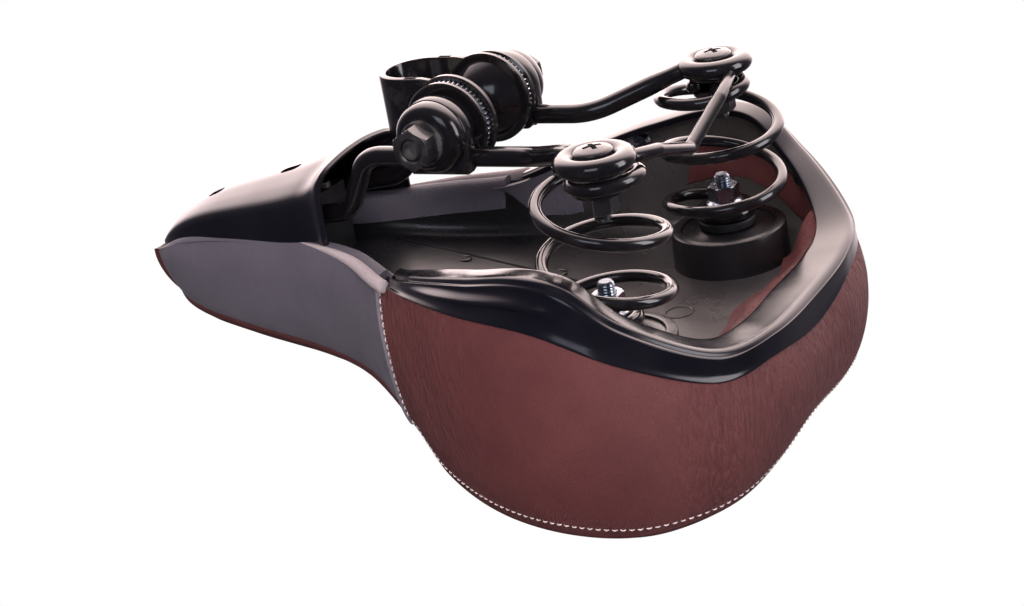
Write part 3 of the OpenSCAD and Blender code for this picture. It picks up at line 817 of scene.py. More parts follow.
def stitching():
    u = np.linspace(-PANEL_U + 0.06, PANEL_U - 0.06, 900)
    lines = [(u, np.full(len(u), 0.93), 0.12)]
    level = np.linspace(0.03, 0.95, 200)
    lines += [(np.full(len(level), side * (PANEL_U - 0.05)), level, 0.3) for side in (-1, 1)]
    parts = []
    for u, level, proud in lines:
        n = wall_normal(u, level)
        parts += seam_stitches(flank(u, level, 0.0) + n * proud, n)
    piece("seam_stitches", join_data(parts), THREAD, "seat", crease=80)


def piping():
    level = np.linspace(0.0, 1.0, 90)
    parts = []
    for side in (-1, 1):
        u = np.full(len(level), side * (PANEL_U + 0.03))
        path = flank(u, level, 0.0) + wall_normal(u, np.clip(level, 0.02, 0.98)) * 0.2
        parts.append(tube_data(path, 1.0, 12))
    piece("front_piping", join_data(parts), PIPE, "seat", "seam_beads")


def cover_edge():
    """Turned edge of the top cover along its seam, broader along the nose, and over the nose's tip."""
    us = even_places(0.0, LOOP, 521, 1.0)[:-1] + 1e-3
    broad = smooth((from_rear(us) - PANEL_U) / 0.8)
    path = flank(us, 0.995, 0.35 - 0.5 * broad)
    path[:, 2] -= 1.1 * broad
    around = tube_data(np.vstack([path, path[:1]]), np.append(0.75 + 0.75 * broad, 0.75), 12)
    levels = np.linspace(0.0, 1.0, 26)
    tip = [np.vstack([flank(u, levels, -1.8), flank(u, levels[::-1], 0.6)])
           for u in np.linspace(HALF - 0.8, HALF + 0.8, 61)]
    piece("cover_edge", join_data([around, loft_data(tip)]), DARK, "seat")


def hem(side):
    """Pale folded edge at the rear of the side panel, over the pan's rim."""
    q = outline(np.linspace(9.4, BUMPER_U + 0.12, 150) * side)
    t = np.linspace(0, 1, 150)
    path = np.column_stack([inward(q, 5.6 - 3.4 * smooth(t * 1.1)), q[:, 3] - 1.1 + 0.9 * smooth(t)])
    piece("hem_" + HAND[side], tube_data(path, 0.5 + 1.9 * smooth(t * 1.2), 18), BEAD, "seat")


def sheet_data(q, face, back, z):
    """Sheet whose two faces lie at two distances in from the outline, in rows for places of q."""
    return loft_data(np.concatenate([at_inset(q, face, z), at_inset(q, back, z)[:, ::-1]], 1))


def lining(side):
    """Vinyl turned in over the rim and glued to the pan's wall, with an uneven cut edge."""
    u0, u1 = 7.3, 5.0
    us = np.linspace(u0, u1, 150) * side
    q = outline(us)
    wall = PAN_WALL + 0.15
    rim = q[:, 2] + RIM_GAP - 0.1
    deep = pan_z(inward(q, wall)[:, 0]) - 3.5
    ragged = 1 + 0.10 * wave_field(us * 3.3, 0, 2.2) + 0.05 * wave_field(us * 11, 0, 6.2)
    share = 0.84 * smooth((np.abs(us) - u1) / 0.8) * smooth((u0 - np.abs(us)) / 0.7) * ragged
    steps = np.linspace(0, 1, 14)
    z = rim[:, None] + ((deep - rim) * np.clip(share, 0.02, 0.96))[:, None] * steps
    piece("lining_" + HAND[side], sheet_data(q, wall + (1.0 - 0.5 * steps**6), wall, z), GREY, "seat",
          crease=60)


stitching()
piping()
cover_edge()
for side in (1, -1):
    hem(side)
    lining(side)


# ---- mouldings ----

def section_curve(points, count, us):
    """Smooth section at each place of us, through points whose inset and height may vary by place."""
    rows = [np.column_stack(np.broadcast_arrays(*point, us)[:2]) for point in points]
    return catmull(rows, count)


def bumper():
    """Glossy moulding around the rear: a rounded rim that dips at each corner, and a ridged face."""
    us = even_places(-BUMPER_U, BUMPER_U, 460, 0.1)
    q = outline(us)
    round_at = np.abs(us)
    rim = 3 + 5 * smooth((round_at - 1.2) / 2)
    wall = rim / 2 + 1.5
    flange = 18 - 4 * np.maximum(0, round_at - 5.5) / (BUMPER_U - 5.5)
    z0, z1 = q[:, 2] - 2.6 * bell(round_at, DIP_U, 0.34), q[:, 3]
    mid = (z0 + z1) / 2
    top = z0 + np.minimum(3, z1 - z0 - 1.5)
    outer = [(flange, z0 + 1), (flange - 1, z0 + 0.5), (rim + 5, z0 + 0.1), (rim + 2, z0),
             (rim + 0.6, z0 + 0.4), (rim - 0.5, z0 + 1.6),
             (wall * 0.5 + rim * 0.5 - 0.9, z0 * 0.6 + mid * 0.4), (wall - 0.6, mid),
             (wall * 0.5 + 1.1, z1 * 0.55 + mid * 0.45), (2.4, z1 - 0.4), (2.8, z1)]
    inner = [(EDGE_TUCK + 2.6, z1), (wall + 2.4, mid + 0.8), (rim + 2.8, top + 0.5),
             (rim + 4.6, top), (flange, top)]
    face = section_curve(outer, 80, us)
    level = (face[..., 1] - z0) / (z1 - z0)
    strength = smooth((round_at - DIP_U) / 0.7) * smooth((6.2 - round_at) / 0.9)
    ridge = 1.7 * bell(level, 0.5, 0.10) - 1.1 * bell(level, 0.27, 0.11)
    face[..., 0] -= ridge * strength * (face[..., 0] < rim + 0.5)
    section = np.concatenate([face, section_curve(inner, 24, us)]).transpose(1, 0, 2)
    piece("rear_bumper_moulding", loft_data(at_inset(q, section[..., 0], section[..., 1])), GLOSS,
          "seat", "rear_bumper", crease=50)


def nose_cover():
    """Cover under the nose: upright sides, a crease, and a broad sloping roof with a flat middle."""
    wall = 2.2
    mouth_x, waist_x = 33, 42
    # Half sections along the cover and at its mouth, in shares of its half width and its height
    body = [(1, 0), (0.985, 0.33), (0.95, 0.55), (0.85, 0.7), (0.65, 0.82), (0.42, 0.91),
            (0.2, 0.975), (0, 1)]
    mouth = [(1, 0), (0.99, 0.4), (0.97, 0.66), (0.9, 0.83), (0.72, 0.92), (0.45, 0.97),
             (0.2, 0.995), (0, 1)]
    body, mouth = (catmull(half, 44, 6.98) for half in (body, mouth))

    def section(station, t, way):
        """Arch of points a distance t in from the face, from left to right (1) or back (-1)."""
        x, half_width, rim, bottom = station
        lip, waist = bell(x, mouth_x, 3.0), bell(x, waist_x, 5.0)
        open_share = float(smooth(1 - (x - mouth_x) / 15))
        half = body * (1 - open_share) + mouth * open_share
        y, z = np.vstack([half, (half * [-1, 1])[::-1]])[::way].T
        wide = half_width - t + 1.5 * lip - 0.5 * waist
        tall = rim - bottom - t + 1.0 * lip - 0.5 * waist
        return np.stack([np.full(len(y), x), y * wide, rim - z * tall], 1)
    stations = catmull(NOSE, 110)
    rows = [np.vstack([section(stations[0], 0.9, 1) - [1.0, 0, 0],
                       section(stations[0], wall - 0.4, -1) - [0.9, 0, 0]])]
    rows += [np.vstack([section(n, 0, 1), section(n, wall, -1)]) for n in stations]
    obj = new_object("nose_cover_moulding", loft_data(rows), 50)
    # Two slots for the screws, beside the middle line
    right, left = -4.2, 0.8
    for x, z, length in ((62, 22, 9), (99, 32, 7)):
        half = length / 2
        plan = rounded([(-half, right), (half, right), (half, left), (-half, left)], [2.2] * 4)
        cut(obj, loft_data([[(px + x, py, h) for px, py in plan] for h in (z - 8, z + 8)]))
    dress(obj, GLOSS, "seat", "nose_cover")


def pan():
    """Shell of the pan: the plate under the saddle, a fillet, and a wall down to a rounded rim."""
    us = even_places(0.0, LOOP, 361)[:-1] + 1e-4
    q = outline(us)

    def ring(inset, z=None, rise=0.0):
        """One loop; without z it lies on the plate's underside, raised by an amount."""
        p = inward(q, inset)
        return np.column_stack([p, np.broadcast_to(pan_z(p[:, 0]) + rise if z is None else z, us.shape)])
    rows = [ring(reach(q) * (1 - e)) for e in (0.03, 0.12, 0.25, 0.4, 0.55, 0.7)]
    for a in np.linspace(0, math.pi / 2, 7):
        rows.append(ring(PAN_WALL + PAN_FILLET * (1 - math.sin(a)), rise=-PAN_FILLET * (1 - math.cos(a))))
    z_rim = q[:, 2] + RIM_GAP
    deep = pan_z(inward(q, PAN_WALL)[:, 0]) - PAN_FILLET
    rows += [ring(PAN_WALL, deep * (1 - t) + (z_rim + 0.6) * t) for t in (0.2, 0.4, 0.6, 0.8, 0.95)]
    rows += [ring(PAN_WALL - 0.3, z_rim + 0.1), ring(PAN_WALL - 1.0, z_rim - 0.2),
             ring(PAN_INSET + 0.6, z_rim - 0.2), ring(PAN_INSET, z_rim + 0.3)]
    rows += [ring(inset, rise=PAN_T) for inset in (PAN_INSET, reach(q) * (1 - 0.6), reach(q) * (1 - 0.03))]
    piece("pan_shell", loft_data(rows), PLASTIC, "seat", "base_shell", crease=50)


def pan_bosses():
    """Pedestals of the springs, round bosses of the moulding, and two ribs along it."""
    z = PEDESTAL_Z
    pedestal = [(3.2, z + 12), (3.2, z + 0.8), (4.0, z + 0.5), (11.5, z + 0.5), (12.2, z + 0.9),
                (16.8, z + 0.9), (17.4, z), (PEDESTAL_R - 0.9, z), (PEDESTAL_R - 0.2, z + 0.4),
                (PEDESTAL_R, z + 1.2), (PEDESTAL_R + 0.2, z + 8), (PEDESTAL_R + 0.5, z + 15),
                (8, z + 15)]
    at = shift(SPRING_LEAN - SPRING_BACK, SPRING_Y)
    parts = [both_sides(placed(revolve_data(pedestal, 96), at))]
    for x, y, radius in ((-58, 0, 4.2), (-58, 30, 3.2), (-58, -30, 3.2), (-116, 0, 4.2),
                         (-30, 22, 3.2), (-30, -22, 3.2), (-88, 0, 5.2), (4, 14, 2.6),
                         (4, -14, 2.6), (-116, 24, 3.2), (-116, -24, 3.2)):
        z = float(pan_z(x))
        boss = [(radius, z + 0.5), (radius, z - 0.25), (radius - 0.35, z - 0.4),
                (radius - 0.7, z - 0.25), (radius - 0.75, z + 0.5)]
        parts.append(placed(revolve_data(boss, 40), shift(x, y)))
    x = np.linspace(-38, 34, 60)
    for side in (-1, 1):
        rib = np.column_stack([x, side * (20 - 3.0 * smooth((x + 38) / 72)), pan_z(x) + 0.6])
        parts.append(tube_data(rib, 1.2, 10))
    piece("pan_bosses", join_data(parts), BOSS, "seat", crease=30)


bumper()
nose_cover()
pan()
pan_bosses()


# ---- wires ----

def rails():
    """Both rails as one wire that crosses at the nose's pivot, with the eyes' rings and a sleeve."""
    eye = np.array([-SPRING_BACK, SPRING_Y, EYE_Z])
    rear = np.array([RAIL_REAR, RAIL_Y, RAIL_Z])
    flat = (rear - eye) * [1, 1, 0]
    join = eye + flat / np.linalg.norm(flat) * EYE_R
    path = corner_path([join, rear, [RAIL_FRONT, RAIL_Y, RAIL_Z], [27, 18.6, 32],
                        [PIVOT_X, 16, PIVOT_Z], [PIVOT_X, 0, PIVOT_Z]], [22, 12, 12, 7], 4)
    dense = []
    for a, b in zip(path[:-1], path[1:]):
        count = max(1, int(np.linalg.norm(b - a) / 3))
        dense += [a + (b - a) * k / count for k in range(count)]
    dense = np.array(dense + [path[-1]])
    radius = RAIL_R * (1 - 0.14 * smooth((14 - np.linalg.norm(dense - join, axis=1)) / 8))
    parts = [tube_data(np.vstack([dense, (dense * [1, -1, 1])[::-1][1:]]),
                       np.append(radius, radius[::-1][1:]), 24, False)]
    ring = [(EYE_R + 3.6 * math.cos(a), 3.2 * math.sin(a)) for a in np.linspace(0, 2 * math.pi, 25)[:-1]]
    parts.append(both_sides(placed(revolve_data(ring, 72), shift(*eye))))
    parts.append(tube_data([[PIVOT_X, y, PIVOT_Z] for y in (-10.2, 10.2)], 3.58, 24, False))
    piece("rail_wire", join_data(parts), ENAMEL, "rails", "rail_frame")


def brace():
    path = corner_path([[-100, 40.5, 2.5], [-102, 26, 5.5], [-101, 0, 14.5], [-102, -26, 5.5],
                        [-100, -40.5, 2.5]], [5, 3.5, 5], 5)
    piece("brace_wire", tube_data(path, 2.3, 18), ENAMEL, "rails", "cross_brace")


def spring(side):
    """Coil whose end turns wind in around the screws, and whose wide turns lean to the rear."""
    n = np.linspace(0, FULL_TURNS + 1.15, 460)
    share = np.minimum(smooth((n - WIND_TURNS + 0.45) / 0.5), smooth((FULL_TURNS + 0.34 - n) / 0.38))
    z = np.interp(n, [WIND_TURNS - 0.22, WIND_TURNS, FULL_TURNS, FULL_TURNS + 0.32],
                  [EYE_COIL_Z, EYE_COIL_Z + 3.1, BASE_COIL_Z - 2, BASE_COIL_Z])
    radius = END_COIL_R + (COIL_R - END_COIL_R) * share
    a = np.radians(COIL_START + 360 * n)
    shifted = SPRING_LEAN * (z - EYE_COIL_Z) / (BASE_COIL_Z - EYE_COIL_Z)
    path = np.column_stack([-SPRING_BACK + radius * np.cos(a) + shifted,
                            side * (SPRING_Y + radius * np.sin(a)),
                            z - COIL_LEAN * share**2 * np.cos(a)])
    obj = piece("coil_" + HAND[side], tube_data(path, WIRE_R - WIRE_THINNED * share, 18), ENAMEL,
                None, "spring_" + HAND[side])
    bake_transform(obj)


rails()
brace()
spring(1)
spring(-1)


# ---- fastenings of the springs ----

def cross_head(radius, face, height, arm, width, depth):
    """Pan head of a cross-slot screw that points down; face is the head's outer height."""
    profile = [(radius * t, face) for t in np.linspace(0, 1, 16)]
    profile += [(radius, face + height * 0.6), (radius * 0.96, face + height), (0, face + height)]

    def shape(a, r, z):
        if z > face + 1e-6:
            return r, z
        x, y = abs(r * math.cos(a - math.pi / 4)), abs(r * math.sin(a - math.pi / 4))
        dome = 1.3 * (r / radius)**2 + (0.5 * smooth((r / radius - 0.88) / 0.12))
        slot = max(float(smooth((arm - p) / 0.5) * smooth((width - q) / 0.35))
                   for p, q in ((x, y), (y, x)))
        return r, face + float(dome) + depth * slot
    return revolve_data(profile, 120, shape)


def stack(at, body, pieces):
    """Pieces on an upright axis, on both sides: name, shape, material, CAD node and crease."""
    for name, data, material, node, crease in pieces:
        piece(name, both_sides(placed(data, at)), material, body, node, crease=crease)


def eye_stack():
    """Bushes, cross-slot screws, washers and nuts at the rails' eyes."""
    cup = [(3.3, -1.9), (5.6, -2.3), (6.3, -2.0), (6.2, 1.0), (6.2, 4.6), (3.3, 4.6)]
    collar = [(3.3, 3.4), (9.2, 3.5), (10.0, 4.0), (9.8, 4.7), (3.3, 4.9)]
    screw = [cross_head(6.8, -4.4, 2.4, 3.2, 0.8, 1.7),
             placed(thread_data(SCREW_R, -20.8, 2.0), turn(180, "X"))]
    low = EYE_COIL_Z + WIRE_R + 0.1
    washer = [(3.15, low - 0.1), (8.0, low - 0.3), (8.9, low), (8.7, low + 0.8), (6.8, low + 1.6),
              (3.15, low + 1.7)]
    nut = nut_data(SCREW_FLATS, low + 1.7, low + 7.7, SCREW_R + 0.05)
    stack(shift(-SPRING_BACK, SPRING_Y), "rails", [
        ("eye_cups", join_data([revolve_data(cup), revolve_data(collar)]), STEEL, "eye_bushes", 40),
        ("eye_screw_pair", join_data(screw), STEEL, "eye_screws", 30),
        ("eye_washer_pair", revolve_data(washer, 72), ENAMEL, "eye_washers", 40),
        ("eye_nut_pair", nut, STEEL, "eye_nuts", 30)])


def pedestal_stack():
    """Bolts, flange nuts and rubber discs at the pan's pedestals."""
    low, top = BASE_COIL_Z - WIRE_R, BASE_COIL_Z + WIRE_R + 0.1
    flange = [(3.05, low - 1.5), (4.6, low - 1.6), (6.0, low - 1.2), (6.8, low - 0.6),
              (6.8, low - 0.1), (3.05, low - 0.1)]
    nut = [nut_data(SCREW_FLATS, low - 6.8, low - 1.2, SCREW_R + 0.05, (True, False)),
           revolve_data(flange, 96)]
    disc = [(3.2, top + 0.1), (6.4, top), (9.9, top), (10.5, top + 0.6), (10.4, top + 2.5),
            (10.0, top + 3.0), (3.2, top + 3.0)]
    stack(shift(SPRING_LEAN - SPRING_BACK, SPRING_Y), "seat", [
        ("base_bolt_pair", thread_data(SCREW_R, 42, 76), ZINC, "base_bolts", 30),
        ("flange_nut_pair", join_data(nut), ZINC, "base_nuts", 30),
        ("end_disc_pair", revolve_data(disc, 72), RUBBER, "end_discs", 40)])


eye_stack()
pedestal_stack()


# ---- clamp ----

def on_bolt(data):
    """Puts a shape turned about Z on the clamp bolt's axis, outwards to the left."""
    return placed(data, shift(-BOLT_BACK, 0) @ turn(-90, "X"))


def plate_data(plan, levels):
    """Flat piece along Y: the plan outline drawn in by an amount at each level."""
    centre = np.mean(plan, 0)
    d = plan - centre
    size = np.linalg.norm(d, axis=1)[:, None]
    rows = []
    for y, draw in levels:
        p = centre + d * (1 - draw / size)
        rows.append(np.column_stack([p[:, 0], np.full(len(p), y), p[:, 1]]))
    return loft_data(rows)


def strap():
    """Band around the seatpost, and its two round ears, dished in towards each other at the bolt."""
    low = -STRAP_H / 2 - STRAP_DROP
    high = low + STRAP_H

    def wrap(r):
        """Half circle around the post with a straight tail at both ends."""
        half = [(r * math.cos(math.radians(a)), r * math.sin(math.radians(a)))
                for a in np.linspace(-90, 90, 61)]
        tail = [(-7 * t, r) for t in np.linspace(0, 1, 9)[1:]]
        return [(x, -y) for x, y in tail[::-1]] + half + tail
    rows = []
    for z, draw in ((low, 0.5), (low + 0.15, 0.2), (low + 0.5, 0), (high - 0.5, 0), (high - 0.15, 0.2),
                    (high, 0.5)):
        loop = wrap(POST_R + STRAP_T - draw) + wrap(POST_R + draw * 0.6)[::-1]
        rows.append([(x, y, z) for x, y in loop])
    dish_r, bore_y, outside = 13.5, 2.5, POST_R + STRAP_T
    radii = np.linspace(4.05, dish_r, 26)
    dish = bore_y + (POST_R - bore_y) * (radii / dish_r)**2.5
    ear = [*zip(radii, dish), (14.2, POST_R + 0.1), (EAR_R - 0.5, POST_R + 0.1), (EAR_R, POST_R + 0.5),
           (EAR_R, outside - 0.5), (EAR_R - 0.5, outside), (13.6, outside)]
    ear += [(r * 0.93 if r > 5 else r, y + STRAP_T) for r, y in zip(radii[::-1], dish[::-1])]
    web = rounded([(-9, low), (-2, low), (-2, high), (-9, high), (-15, high - 1), (-15, low + 1)],
                  [0, 0, 0, 0, 3, 3])
    levels = [(POST_R + 0.12, 0.3), (POST_R + 0.4, 0), (outside - 0.4, 0), (outside - 0.02, 0.3)]
    parts = [loft_data(rows), both_sides(on_bolt(revolve_data(ear, 96))),
             both_sides(plate_data(web, levels))]
    piece("strap_band", join_data(parts), ENAMEL, "clamp", "post_strap", crease=30)


def disc(side):
    """Disc with fine teeth around its edge."""
    teeth, tooth_r = 52, 15.2
    y0, y1 = DISC_Y, DISC_Y + 2.7
    profile = [(4.2, y0), (13.2, y0), (tooth_r, y0 + 0.35), (tooth_r, y0 + 1.3), (tooth_r, y1 - 0.35),
               (13.2, y1), (4.2, y1)]

    def shape(a, r, z):
        return (r if r < tooth_r else r - 0.35 + 0.35 * math.cos(teeth * a)), z
    data = on_side(on_bolt(revolve_data(profile, 8 * teeth, shape)), side)
    piece("tooth_disc_" + HAND[side], data, ZINC, "clips", "serrated_disc_" + HAND[side], crease=35)


def groove(side):
    """Room for the rail, to cut out of the clamp's plates."""
    return tube_data([[x, side * RAIL_Y, RAIL_Z] for x in (-60, 20)], RAIL_R + 0.08, 40, False)


def inner(side):
    """Inner plate: a stepped round plate, and a block with the rail's groove."""
    y0, y1 = PLATE_Y, PLATE_Y + 2.4
    plate = [(4.05, y0), (14.6, y0), (15.6, y0 + 0.7), (15.6, y1 - 0.5), (15.1, y1), (11.5, y1),
             (10.5, y1 + 1.1), (7.6, y1 + 1.3), (7.0, y1 + 2.4), (7.0, CAP_Y - 0.8),
             (4.05, CAP_Y - 0.8)]
    obj = new_object("inner_clip_" + HAND[side], on_side(on_bolt(revolve_data(plate, 96)), side), 35)
    rear, front, low, high = -BOLT_BACK - 13, -BOLT_BACK + 13, 3, 13.6
    seat = rounded([(rear, low), (front, low), (front, high), (rear, high)], [1.5, 1.5, 2.5, 2.5])
    levels = [(y0 + 0.02, 0.6), (y0 + 0.6, 0), (CAP_Y - 1.3, 0), (CAP_Y - 0.8, 0.5)]
    block = new_object("block", on_side(plate_data(seat, levels), side), 35)
    cut(block, groove(side))
    merge(obj, block)
    dress(obj, ENAMEL, "clips", "inner_plate_" + HAND[side])


def cap(side):
    """D-shaped outer cap: round over the bolt, square over the rail, domed towards the bolt."""
    plan = [(13 * math.cos(a), 13 * math.sin(a)) for a in np.linspace(math.pi, 2 * math.pi, 48)]
    plan += [(12.8, 6), (12.4, 12.6), (10.9, 14.3), (-10.9, 14.3), (-12.4, 12.6), (-12.8, 6)]
    levels = [(CAP_Y, 0.7), (CAP_Y + 0.3, 0.2), (CAP_Y + 0.9, 0), (CAP_Y + 4.6, 0),
              (CAP_Y + 5.3, 0.25), (CAP_Y + 5.6, 0.9)]
    data = plate_data(np.array(plan) - [BOLT_BACK, 0], levels)
    obj = new_object("rail_cap_" + HAND[side], on_side(data, side), 35)
    cut(obj, groove(side))
    y = CAP_Y + 5.55
    dome = [(4.1, y - 0.5), (12.5, y - 0.5), (12.6, y + 1.0), (12.5, y + 2.6), (12.1, y + 3.9),
            (11.4, y + 5.0), (10.4, y + 5.9), (9.2, y + 6.4), (8.0, CAP_OUT), (4.1, CAP_OUT)]
    merge(obj, new_object("dome", on_side(on_bolt(revolve_data(dome, 96)), side), 35))
    dress(obj, ENAMEL, "clips", "outer_cap_" + HAND[side])


def clamp_fasteners():
    """Clamp bolt with its hexagon head on the left, its nut on the right, and two washers."""
    shank = [(0, -CAP_OUT), (BOLT_R, -CAP_OUT), (BOLT_R, CAP_OUT + 2.2), (0, CAP_OUT + 2.2)]
    bolt = [nut_data(BOLT_FLATS, CAP_OUT + 1.8, CAP_OUT + 7.3, 0.05, (False, True)),
            revolve_data(shank, 48), thread_data(BOLT_R, -CAP_OUT - 9.2, -CAP_OUT + 0.05, 1.25, 48)]
    piece("cross_bolt", on_bolt(join_data(bolt)), STEEL, "clamp", "clamp_bolt", crease=30)
    nut = on_side(on_bolt(nut_data(BOLT_FLATS, CAP_OUT + 1.8, CAP_OUT + 8.8, 4.0)), -1)
    piece("cross_nut", nut, STEEL, "clamp", "clamp_nut", crease=30)
    y = CAP_OUT + 0.1
    ring = [(4.0, y), (7.7, y), (8.0, y + 0.3), (8.0, y + 1.3), (7.7, y + 1.6), (4.0, y + 1.6)]
    piece("cross_washers", both_sides(on_bolt(revolve_data(ring, 72))), STEEL, "clamp", "clamp_washers")


strap()
for side in (1, -1):
    disc(side)
    inner(side)
    cap(side)
clamp_fasteners()

# ---- small trim: CAD nodes that keep their own shape ----

for node, material in {"bumper_screws": ZINC, "nose_block": BOSS, "nose_clip": RUBBER,
                       "nose_screws": STEEL}.items():
    paint(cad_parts[node], material)


# ---- leather turned in at the rear ----

def flap():
    """Turned-in rear edge of the leather, unevenly puffed, with an uneven cut edge."""
    us = np.linspace(2.3, -1.75, 200)
    q = outline(us)
    thick = 1.1
    roof, low = pan_z(-140) - 0.2, q[:, 2]
    wobble = 1.4 * wave_field(us * 2.3, 0, 4.4)
    puff = 1.3 * wave_field(us * 1.9, 0, 9.4)
    line = [(13, low + 5.2), (18, low + 5.6 - 0.4 * puff),
            (23 + 0.5 * wobble, (low + roof) / 2 - puff), (28 + wobble, roof - 2.4 - 0.7 * puff),
            (32.5 + wobble, roof - 0.3)]
    curve = section_curve(line, 30, us).transpose(1, 0, 2)
    upper = at_inset(q, curve[..., 0], curve[..., 1])
    lower = at_inset(q, curve[..., 0] + thick, curve[..., 1] - thick)
    lower[:, -1, :2] = upper[:, -1, :2]
    rows = np.concatenate([upper, lower[:, ::-1]], 1)
    piece("turned_flap", loft_data(rows), BROWN, "seat", "cover_flap", crease=60)


def turned_strip(side):
    """Leather turned in beside the flap and glued to the pan's wall."""
    us = np.linspace(2.35, 4.75, 130) * side
    q = outline(us)
    ends = (smooth(np.linspace(0, 14, 130)) * smooth(np.linspace(14, 0, 130)))[:, None]
    deep = np.minimum(pan_z(inward(q, PAN_WALL)[:, 0]) - 3.0, q[:, 2] + 29)[:, None]
    tall = (15 + 1.5 * wave_field(us * 2.9, 0, 3.7)[:, None]) * ends + 0.2
    steps = np.linspace(0, 1, 12)
    bulge = 0.5 + 1.1 * np.sin(np.pi * steps)**0.7 * ends
    data = sheet_data(q, PAN_WALL + 0.2 + bulge, PAN_WALL + 0.1, deep - tall * steps)
    piece("turned_strip_" + HAND[side], data, BROWN, "seat", crease=60)


def staples():
    """Row of wire staples through the flap, each turned a little its own way."""
    half, leg, wire_r, inset = 4, 2.2, 0.36, 25.4
    wire = corner_path([[0, -half, leg], [0, -half, 0], [0, half, 0], [0, half, leg]], [0.5, 0.5], 12)
    parts = []
    for i, askew in enumerate((-14, 9, 3, -6, 12, -9, 5)):
        q = outline(-1.6 + 3.55 * i / 6)
        x, y = inward(q, inset)
        angle = math.degrees(math.atan2(-q[1], spine_x(q) - q[0])) + askew
        at = shift(x, y, pan_z(-140) - 3.2) @ turn(angle, "Z")
        parts.append(placed(tube_data(wire, wire_r, 8), at))
    piece("flap_staples", join_data(parts), BRASS, "seat", "cover_staples")


flap()
turned_strip(-1)
turned_strip(1)
staples()

# ---- stage ----

CAMERA_ROUND, CAMERA_BELOW, CAMERA_ROLL = (math.radians(a) for a in (31.64, 21.61, -10.26))
CAMERA_FAR, FOCAL = 0.76209, 73.88
TARGET = Vector((-0.02143, 0, 0.07424))
BACKDROP = Vector((0.28, 0.80, -0.52))
FLOOR_SIZE, FLOOR_Z = 6, -1.2
MIDDLE = Vector((-0.02, 0, 0.05))


def camera():
    """Camera below the saddle that looks up at it, rolled and with the saddle's underside up."""
    back = Vector((-math.sin(CAMERA_ROUND) * math.cos(CAMERA_BELOW),
                   -math.cos(CAMERA_ROUND) * math.cos(CAMERA_BELOW), -math.sin(CAMERA_BELOW)))
    down = Vector((0, 0, -1))
    level_up = (down - back * down.dot(back)).normalized()
    level_right = level_up.cross(back)
    right = level_right * math.cos(CAMERA_ROLL) + level_up * math.sin(CAMERA_ROLL)
    up = level_up * math.cos(CAMERA_ROLL) - level_right * math.sin(CAMERA_ROLL)
    data = bpy.data.cameras.new("camera")
    data.lens, data.sensor_width = FOCAL, 36
    data.clip_start, data.clip_end = 0.01, 50
    obj = bpy.data.objects.new("camera", data)
    bpy.context.scene.collection.objects.link(obj)
    place = TARGET + back * CAMERA_FAR
    obj.matrix_world = Matrix(((right.x, up.x, back.x, place.x), (right.y, up.y, back.y, place.y),
                               (right.z, up.z, back.z, place.z), (0, 0, 0, 1)))
    bpy.context.scene.camera = obj


def area(name, place, width, height, power, colour, glossy):
    """Area light aimed at the middle of the saddle; glossy says whether reflections show it."""
    data = bpy.data.lights.new(name, "AREA")
    data.shape = "RECTANGLE"
    data.size, data.size_y = width, height
    data.energy = power
    data.color = colour
    obj = bpy.data.objects.new(name, data)
    obj.location = place
    obj.rotation_mode = "QUATERNION"
    obj.rotation_quaternion = (MIDDLE - Vector(place)).to_track_quat("-Z", "Y")
    obj.visible_camera = False
    obj.visible_glossy = glossy
    bpy.context.scene.collection.objects.link(obj)


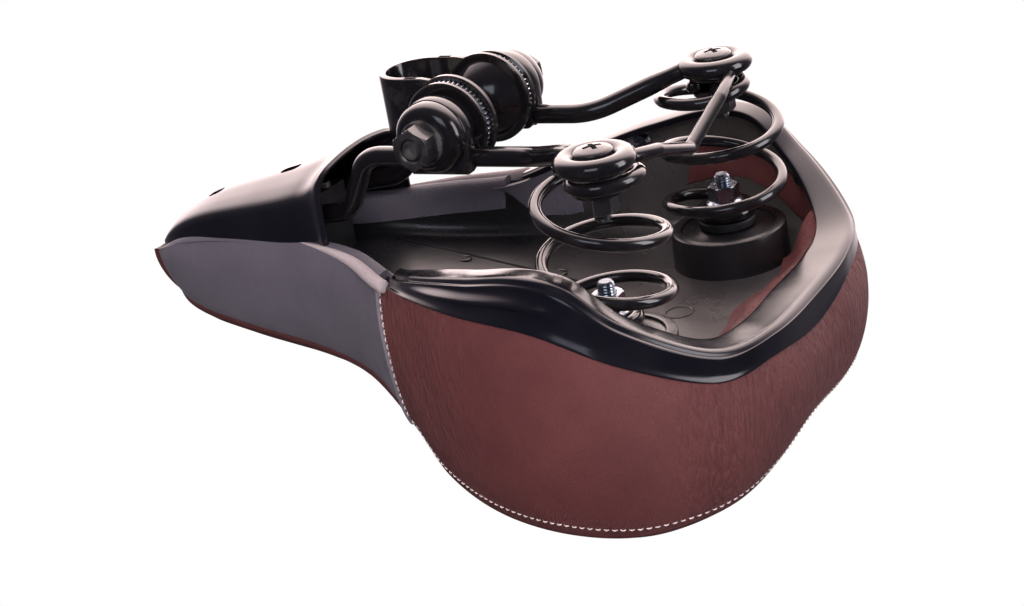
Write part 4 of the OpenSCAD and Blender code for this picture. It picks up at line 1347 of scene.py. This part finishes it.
def room():
    """World: white to the camera, and to all else dark with a warm glow around BACKDROP."""
    world = bpy.data.worlds.new("studio")
    bpy.context.scene.world = world
    world.use_nodes = True
    tree = world.node_tree
    ground = tree.nodes["Background"]
    ground.inputs["Color"].default_value = (1, 1, 1, 1)
    place = add_node(tree, "ShaderNodeTexCoord").outputs["Generated"]
    facing = add_node(tree, "ShaderNodeVectorMath", {1: BACKDROP.normalized()}, {0: place},
                      operation="DOT_PRODUCT")
    half = add_node(tree, "ShaderNodeMapRange", {"From Min": -1}, {"Value": facing.outputs["Value"]})
    ramp = add_node(tree, "ShaderNodeValToRGB", links={"Fac": half.outputs["Result"]})
    stops = [(0.0, (0.006, 0.006, 0.010)), (0.50, (0.010, 0.010, 0.014)),
             (0.74, (0.035, 0.031, 0.036)), (0.82, (0.30, 0.245, 0.255)),
             (0.88, (0.72, 0.585, 0.585)), (1.0, (1.0, 0.81, 0.775))]
    for element, (position, colour) in zip(ramp.color_ramp.elements, (stops[0], stops[-1])):
        element.position, element.color = position, (*colour, 1)
    for position, colour in stops[1:-1]:
        ramp.color_ramp.elements.new(position).color = (*colour, 1)
    glow = add_node(tree, "ShaderNodeBackground", {"Strength": 4.6}, {"Color": ramp.outputs["Color"]})
    seen = add_node(tree, "ShaderNodeLightPath").outputs["Is Camera Ray"]
    mix = add_node(tree, "ShaderNodeMixShader",
                   links={"Fac": seen, 1: glow.outputs[0], 2: ground.outputs[0]})
    tree.links.new(mix.outputs[0], tree.nodes["World Output"].inputs["Surface"])


def floor():
    """Pale ground far below, that neither lights the saddle nor shows in it."""
    w, z = FLOOR_SIZE, FLOOR_Z
    mesh = bpy.data.meshes.new("floor")
    mesh.from_pydata([(-w, -w, z), (w, -w, z), (w, w, z), (-w, w, z)], [], [(0, 1, 2, 3)])
    obj = bpy.data.objects.new("floor", mesh)
    obj.visible_glossy = obj.visible_diffuse = obj.visible_shadow = False
    bpy.context.scene.collection.objects.link(obj)
    pale = plain("pale_floor", (0.82, 0.82, 0.82), (0.78, 0.78, 0.78), 0.6, 30, 0.02)
    shader = pale.node_tree.nodes["Principled BSDF"]
    shader.inputs["Emission Color"].default_value = (1, 1, 1, 1)
    shader.inputs["Emission Strength"].default_value = 0.82
    obj.data.materials.append(pale)


camera()
bpy.context.scene.view_settings.view_transform = "Standard"
room()
floor()
area("key", (-0.30, -0.80, -0.62), 0.7, 0.5, 14, (1.0, 0.95, 0.96), False)
area("fill", (-0.75, -0.65, 0.15), 0.9, 0.7, 5.5, (1.0, 0.93, 0.93), False)
area("shine", (-0.30, -0.80, -0.50), 0.50, 0.40, 1.2, (0.80, 0.85, 1.0), True)
area("front_light", (0.65, -0.70, -0.15), 0.5, 0.5, 3.0, (1.0, 0.90, 0.86), False)
area("strip_rear", (-0.9, 0.15, -0.15), 0.35, 0.7, 3.5, (0.98, 0.94, 1.0), True)
area("softbox_above", (0.10, 0.50, 0.95), 1.1, 0.9, 11, (1.0, 0.98, 0.96), False)
